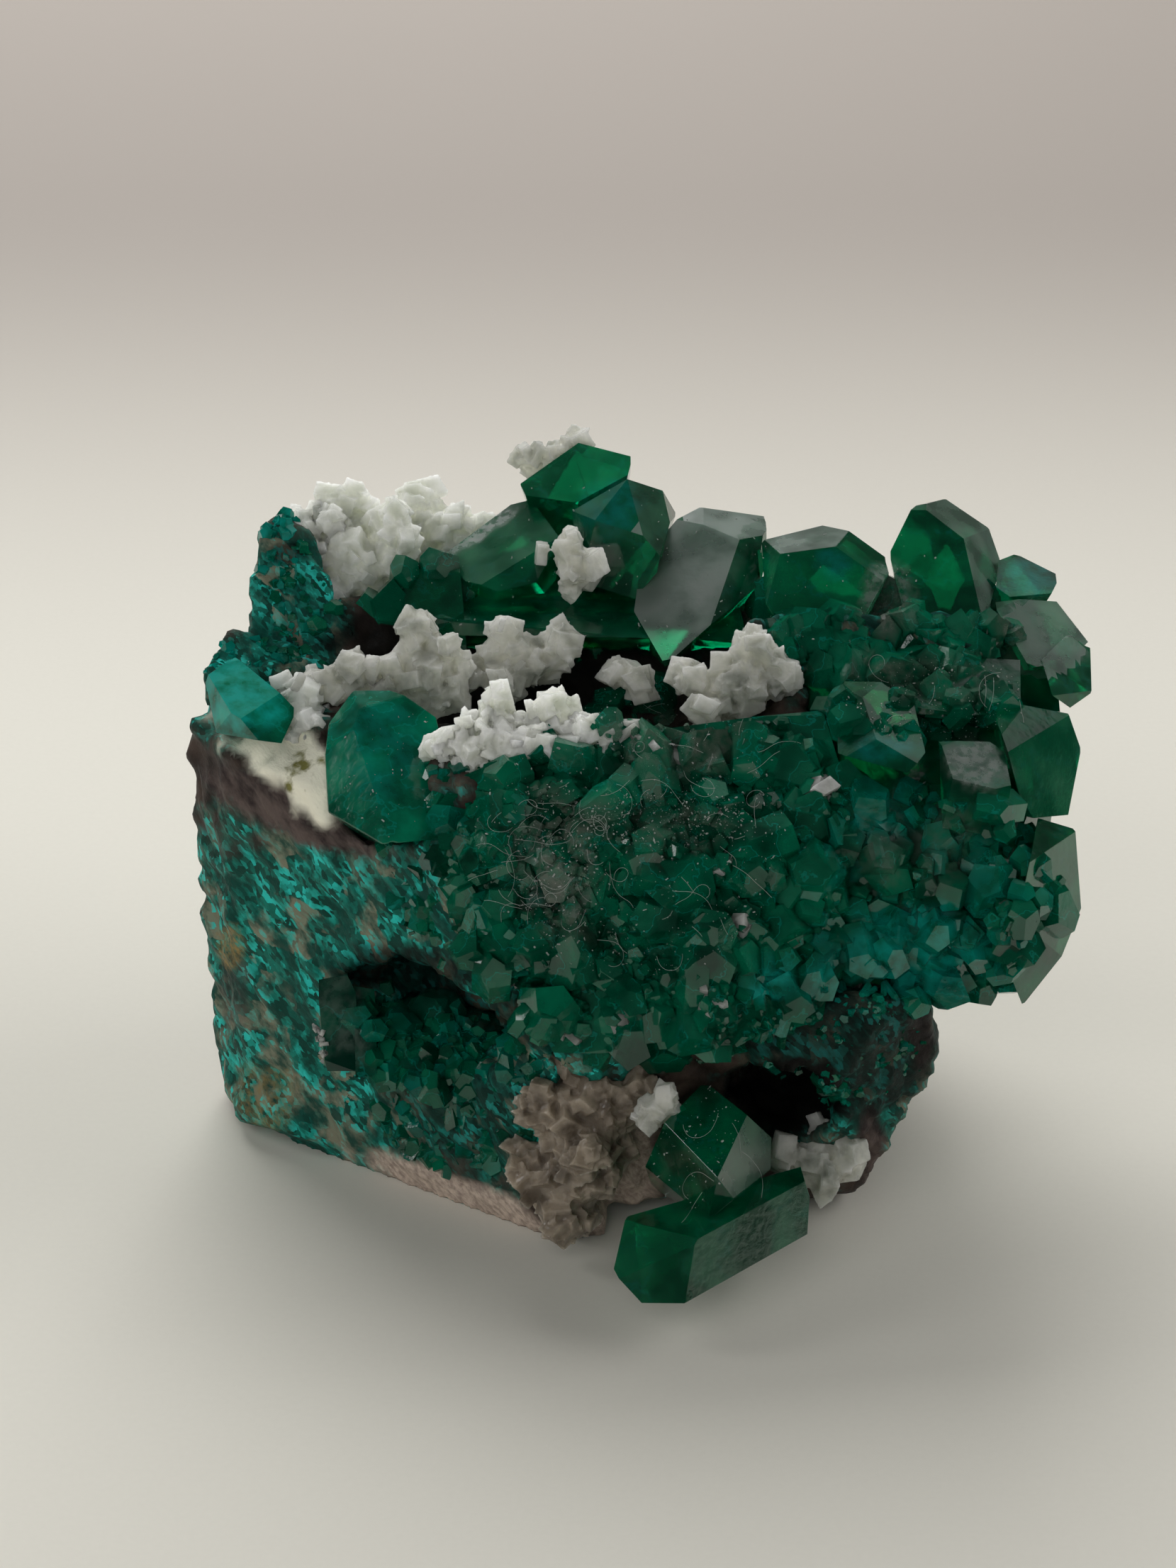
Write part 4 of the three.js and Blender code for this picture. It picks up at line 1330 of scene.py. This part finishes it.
@dataclass
class CalciteSprays:
    """The white calcite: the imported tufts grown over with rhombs, and loose heaps beside them."""

    solids: Solids
    finish: Calcite
    clear_finish: Calcite
    warm_finish: Calcite
    white: tuple[str, ...] = ("calcite_rim", "calcite_left_peak", "calcite_back")
    warm: tuple[str, ...] = ("calcite_base",)
    density: float = 3.2
    width: Span = (0.35, 1.5)
    height: Span = (0.6, 1.2)  # in widths
    skew: float = 1.6
    wander: float = 0.8
    upward: float = 0.2
    sink: float = 0.74
    shrink: float = 0.12
    deep_shrink: float = 0.3
    deep: tuple[str, ...] = ("calcite_vug", "calcite_ridge")
    coarse: float = 0.4
    voxel: float = 0.09
    grit: float = 0.02
    grit_size: float = 0.3
    tone: float = 0.5
    tone_range: float = 0.8
    tone_size: float = 1.2
    heaps: tuple[Tuft, ...] = (
        Tuft(Oval((-6.4, 2.2), (2.2, 2.0)), 90),
        Tuft(Oval((-3.4, 2.6), (2.2, 1.4)), 80),
        Tuft(Oval((-0.2, 2.6), (1.4, 1.4)), 50),
        Tuft(Oval((-15.4, 14.6), (1.6, 1.3)), 60),
        Tuft(Oval((-16.4, 4.4), (1.5, 1.8)), 70),
    )
    plates: tuple[Tuft, ...] = (
        Tuft(Oval((8.0, -1.2), (0.6, 0.5)), 3, (0.7, 1.3), 0.1),
        Tuft(Oval((13.0, -0.4), (0.7, 0.8)), 4, (0.9, 1.9), 0.1),
        Tuft(Oval((7.6, -5.0), (0.5, 1.0)), 3, (0.6, 1.1), 0.1),
        Tuft(Oval((8.4, -8.4), (0.3, 1.0)), 4, (0.6, 1.2), 0.1),
        Tuft(Oval((-1.2, -14.0), (0.6, 0.5)), 4, (0.6, 1.3), 0.1),
        Tuft(Oval((2.4, -14.2), (1.0, 1.0)), 5, (0.6, 1.3), 0.1),
        Tuft(Oval((6.8, -12.2), (1.0, 1.0)), 5, (0.6, 1.3), 0.1),
        Tuft(Oval((15.0, 3.6), (2.0, 1.2)), 8, (0.7, 1.6), 0.1),
        Tuft(Oval((4.4, 2.6), (2.6, 1.4)), 8, (0.7, 1.6), 0.1),
        Tuft(Oval((-15.1, -14.0), (0.12, 2.0), 8), 26, (0.3, 0.6), 0.05),
    )

    def coat(self, node: str, rng: np.random.Generator) -> Body:
        """A packed tuft grown over with rhombs.

        Args:
            node: The tuft.
            rng: Where chance comes from.

        Returns:
            The tuft and its rhombs.
        """
        solid = fine(self.solids.bodies[node], self.coarse)
        shrink = self.deep_shrink if node.startswith(self.deep) else self.shrink
        base = Body(solid.points - shrink * solid.normals(), solid.faces)
        area = np.linalg.norm(base.spans(), axis=1).sum() / 2
        points, normals = base.sample(int(self.density * area), rng)
        return self.healed(merged([base, self.rhombs(points, normals, self.width, rng)]))

    def healed(self, body: Body) -> Body:
        """Rhombs grown together into one mass with blunt edges and a sugary skin.

        Args:
            body: The rhombs, and what they stand on.

        Returns:
            The mass.
        """
        mass = fine(body, self.voxel)
        lift = self.grit * grain(mass.points, self.grit_size)
        made = Body(mass.points + mass.normals() * lift[:, None], mass.faces)
        made.layers[Mark.TONE] = self.tone + self.tone_range * grain(made.points, self.tone_size, seed=6.0)
        return made

    def rhombs(self, points: np.ndarray, normals: np.ndarray, width: Span,
               rng: np.random.Generator) -> Body:
        """Rhombs standing on points.

        Args:
            points: Where they stand.
            normals: Which way is out there.
            width: The least and the most width.
            rng: Where chance comes from.

        Returns:
            All of them as one body.
        """
        count = len(points)
        widths = skewed(width, self.skew, count, rng)
        aside = self.wander * unit(rng.normal(size=(count, 3)))
        axes = unit(normals + aside + [0, 0, self.upward])
        heights = widths * rng.uniform(*self.height, count)
        return Rhomb.grown(points - self.sink * axes * heights[:, None], axes, widths, heights, rng)

    def heap(self, tuft: Tuft, rng: np.random.Generator) -> Body | None:
        """One heap, highest in its middle.

        Args:
            tuft: The heap.
            rng: Where chance comes from.

        Returns:
            Its body, or nothing where no ground shows.
        """
        ground = [name for name in self.solids.names if name not in LargeCrystals.nodes]
        points, normals = self.solids.look(tuft.oval.scatter(tuft.count, rng), ground)
        if not len(points):
            return None
        rise = tuft.heap * (1 - tuft.oval.reach(Sight.places(points)) ** 2) * rng.random(len(points))
        points = points + normals * np.clip(rise, 0, None)[:, None]
        return self.rhombs(points, normals, tuft.width, rng)

    def build(self) -> None:
        """Makes a piece for each tuft, one for the heaps and one for the plates, and dresses them."""
        rng = np.random.default_rng(7)
        finishes = (self.finish, self.clear_finish, self.warm_finish)
        white, clear, warm = (each.material() for each in finishes)
        for node in self.solids.named("calcite"):
            finish = warm if node in self.warm else white if node in self.white else clear
            piece = self.coat(node, rng).piece(f"{node}_spray", finish)
            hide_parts(node)
        loose = [body for body in (self.heap(tuft, rng) for tuft in self.heaps) if body]
        self.healed(merged(loose)).piece("calcite_heaps", white)
        loose = [body for body in (self.heap(tuft, rng) for tuft in self.plates) if body]
        merged(loose).piece("calcite_plates", clear)


@dataclass
class MatrixRock:
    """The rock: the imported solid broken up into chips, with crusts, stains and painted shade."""

    solids: Solids
    finish: Rock
    voxel: float = 0.3
    swell: float = 0.28
    chip: float = 1.5
    streak: float = 3.2
    # Where the mark is painted shade, the rock is painted near black: behind the crest, in the vug, and
    # under the overhanging crystals.
    stains: tuple[Stain, ...] = (
        Stain(Mark.CRUST, Oval((17.0, 8.0), (9.0, 3.6))),
        Stain(Mark.SOOT, Oval((16.0, 8.0), (7.0, 2.6)), 0.6),
        Stain(Mark.CRUST, Oval((-14.5, -12.0), (13.0, 12.6), 10)),
        Stain(Mark.CRUST, Oval((-4.0, -14.0), (7.0, 9.0))),
        Stain(Mark.CRUST, Oval((15.2, -14.8), (6.6, 6.6))),
        Stain(Mark.CRUST, Oval((-19.0, 5.0), (4.0, 3.4))),
        Stain(Mark.CRUST, Oval((-16.8, 9.8), (3.4, 5.8))),
        Stain(Mark.SOOT, Oval((-16.9, 13.0), (1.2, 0.8)), 0.8),
        Stain(Mark.SOOT, Oval((-2.6, 7.4), (13.4, 5.4)), 0.93),
        Stain(Mark.ROSE, Oval((1.8, -22.0), (2.2, 4.4)), 0.8),
        Stain(Mark.UMBER, Oval((-16.6, -1.6), (6.4, 1.5), -24)),
        Stain(Mark.CREAM, Oval((-17.2, 1.7), (4.4, 1.8), -32)),
        Stain(Mark.CREAM, Oval((-15.6, -0.2), (2.2, 1.5), -62)),
        Stain(Mark.UMBER, Oval((-20.0, -11.4), (0.9, 2.4)), 0.45),
        Stain(Mark.OCHRE, Oval((-18.2, -17.8), (1.9, 2.0)), 0.6),
        Stain(Mark.OCHRE, Oval((-20.2, -9.2), (0.8, 1.2))),
        Stain(Mark.UMBER, Oval((18.8, -14.4), (0.8, 1.8))),
        Stain(Mark.UMBER, Oval((15.9, -20.6), (0.9, 2.6))),
        Stain(Mark.ROSE, Oval((-7.6, -23.0), (5.8, 1.0), -22)),
        Stain(Mark.SOOT, Oval((-9.8, -10.6), (4.6, 1.5), -4), 0.85),
        Stain(Mark.SOOT, Oval((11.2, -17.6), (4.0, 2.6))),
        Stain(Mark.SOOT, Oval((-4.6, -13.4), (3.4, 1.8), -10), 0.7),
        Stain(Mark.SOOT, Oval((-7.0, -18.0), (4.6, 3.4)), 0.5),
        Stain(Mark.SOOT, Oval((14.6, -14.2), (6.4, 5.4)), 0.82),
    )
    corner: Oval = Oval((-18.0, -19.2), (4.0, 2.6), -25)
    corner_swell: float = 1.2
    corner_edge: Span = (1.0, 0.3)
    lump: Span = (0.25, 2.6)  # height and width
    pit: Span = (0.10, 0.8)
    rib: Span = (0.25, 1.0)
    chip_height: float = 0.35
    chip_level: float = 0.6
    foot: Span = (0.2, 1.5)  # heights between which the roughness sets in
    patch: float = 7.0
    patch_edge: Span = (0.0, 0.25)

    def chipped(self) -> Body:
        """The solid cut up finely, swollen against its crystals and broken up into chips.

        Returns:
            The rock without layers.
        """
        body = fine(self.solids.bodies["matrix"], self.voxel)
        streaks = grained(body.points, self.streak)
        lift = self.swell + self.lump[0] * grain(body.points, self.lump[1])
        lift += self.pit[0] * grain(body.points, self.pit[1], seed=5.0)
        lift += self.chip_height * (chips(streaks, self.chip) - self.chip_level)
        lift += self.rib[0] * grain(streaks, self.rib[1], seed=3.0)
        corner = self.corner.reach(Sight.places(body.points))
        lift += self.corner_swell * ramped(corner, *self.corner_edge)
        lift *= ramped(body.points[:, 2], *self.foot)
        return Body(body.points + body.normals() * lift[:, None], body.faces)

    def build(self) -> None:
        """Makes the rock and dresses it."""
        body = self.chipped()
        body.stain(self.stains)
        hidden = ramped(body.normals() @ Sight.toward, SHOWN, HIDDEN)
        patches = ramped(grain(body.points, self.patch, seed=9.0), *self.patch_edge) * hidden
        body.layers[Mark.CRUST] = np.maximum(body.layers[Mark.CRUST], patches)
        piece = body.piece("matrix_rock", self.finish.material(), smooth=True)
        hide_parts("matrix")


@dataclass(frozen=True)
class Lamp:
    """A square soft white light that faces the specimen, which shiny faces mirror or not."""

    name: str
    at: tuple[float, float, float]
    size: float
    watts: float
    mirrored: bool = False

    def hang(self) -> None:
        """Puts it in its place."""
        data = bpy.data.lights.new(self.name, "AREA")
        data.size = self.size * MM
        data.energy = self.watts
        obj = placed(self.name, data)
        obj.visible_glossy = self.mirrored
        obj.location = Vector(self.at) * MM
        obj.rotation_euler = (Vector(Sight.middle) - Vector(self.at)).to_track_quat("-Z", "Y").to_euler()


@dataclass
class Studio:
    """The pale paper, the soft lights and the camera."""

    paper: Paper = Paper()
    half_width: float = 900.0
    bend_at: float = 420.0
    bend: float = 260.0
    bend_steps: int = 24
    height: float = 900.0
    sight_limit: float = 10_000.0
    lamps: tuple[Lamp, ...] = (
        Lamp("window_behind", (-90.0, 400.0, 300.0), 400.0, 2.95),
        Lamp("bounce_in_front", (-170.0, -400.0, 220.0), 500.0, 1.1),
        Lamp("window_left", (-340.0, 40.0, 260.0), 120.0, 0.2, True),
        Lamp("window_right", (380.0, 40.0, 190.0), 340.0, 0.9),
        Lamp("ceiling_right", (260.0, 300.0, 380.0), 220.0, 0.07, True),
    )
    bright_way: tuple[float, float, float] = (-0.15, 0.45, 0.88)
    bright_air: str = "#343436"
    dim_air: str = "#161616"

    def sweep(self) -> None:
        """Lays the paper: flat in front, curving up behind the specimen."""
        turns = np.linspace(0, math.pi / 2, self.bend_steps)
        profile = [(-self.half_width, 0.0)]
        profile += [(self.bend_at + self.bend * math.sin(t), self.bend * (1 - math.cos(t))) for t in turns]
        profile += [(self.bend_at + self.bend, self.height)]
        points = np.array([(x, y, z) for x in (-self.half_width, self.half_width) for y, z in profile])
        count = len(profile)
        quads = [(i, i + count, i + count + 1, i + 1) for i in range(count - 1)]
        mesh = bpy.data.meshes.new("studio_sweep")
        mesh.from_pydata((points * MM).tolist(), [], quads)
        mesh.polygons.foreach_set("use_smooth", [True] * len(mesh.polygons))
        mesh.materials.append(self.paper.material())
        obj = placed("studio_sweep", mesh)

    def camera(self) -> None:
        """Stands the camera at the eye of the front view."""
        data = bpy.data.cameras.new("front_view")
        data.lens = Sight.lens
        data.clip_end = self.sight_limit * MM
        obj = placed("front_view", data)
        obj.location = Vector(Sight.eye) * MM
        obj.rotation_euler = Vector(-Sight.toward).to_track_quat("-Z", "Y").to_euler()
        bpy.context.scene.camera = obj

    def build(self) -> None:
        """Sets the stage."""
        scene = bpy.context.scene
        scene.view_settings.view_transform = "Standard"
        self.camera()
        self.sweep()
        for lamp in self.lamps:
            lamp.hang()
        scene.world = self.air()

    def air(self) -> bpy.types.World:
        """The room's own light: bright above and behind the specimen, dark in front of it."""
        made = Recipe(bpy.data.worlds.new("studio_air"))
        way = made.add(Kind.WAY)
        toward = made.add(Kind.DOT, {0: way, 1: self.bright_way}, operation="DOT_PRODUCT")
        share = made.add(Kind.RANGE, {"Value": toward, "From Min": 0.45, "From Max": 0.95})
        ends = {UNDER: self.dim_air, OVER: self.bright_air}
        light = made.add(Kind.MIX, {SHARE: share, **ends}, data_type="RGBA")
        made.feed(made.tree.nodes["Background"], {"Color": light})
        return made.owner


def main() -> None:
    """Builds every piece in order."""
    logging.basicConfig(level=logging.INFO, format="%(name)s: %(message)s")
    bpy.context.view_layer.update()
    solids = Solids(frame["nodes"])
    Studio().build()
    MatrixRock(solids, Rock()).build()
    clear = Dioptase("dioptase_natural_faces")
    cloudy = Dioptase("dioptase_cloudy_faces", deep="#004A34", bright="#008E68", transmission=0.35)
    large = LargeCrystals(solids, clear, cloudy).build()
    small = Dioptase("dioptase_druse_faces", deep="#003A28", bright="#057E5B", frost="#666B60",
                     transmission=0.4, density=0.0)
    druse = Druse(solids, small).build()
    # The cavity finish is darker as painted shade of the cavity.
    dark = Dioptase("dioptase_cavity_faces_painted_shade", deep="#022F23", bright="#05654B",
                    transmission=0.3, density=0.0)
    CavityCrystals(solids, dark).build()
    LooseLint(Lint()).build(merged([large, druse]))
    white = Calcite("calcite_cleavage_faces", pale="#EFF0E6", shade="#C4C7BB")
    glassy = Calcite("calcite_clear_faces", pale="#EDECE0", shade="#A9ACA2", transmission=0.35)
    warm = Calcite("calcite_iron_tinted_faces", pale="#9A8E7E", shade="#5A5045")
    CalciteSprays(solids, white, glassy, warm).build()


if __name__ == "__main__":
    main()
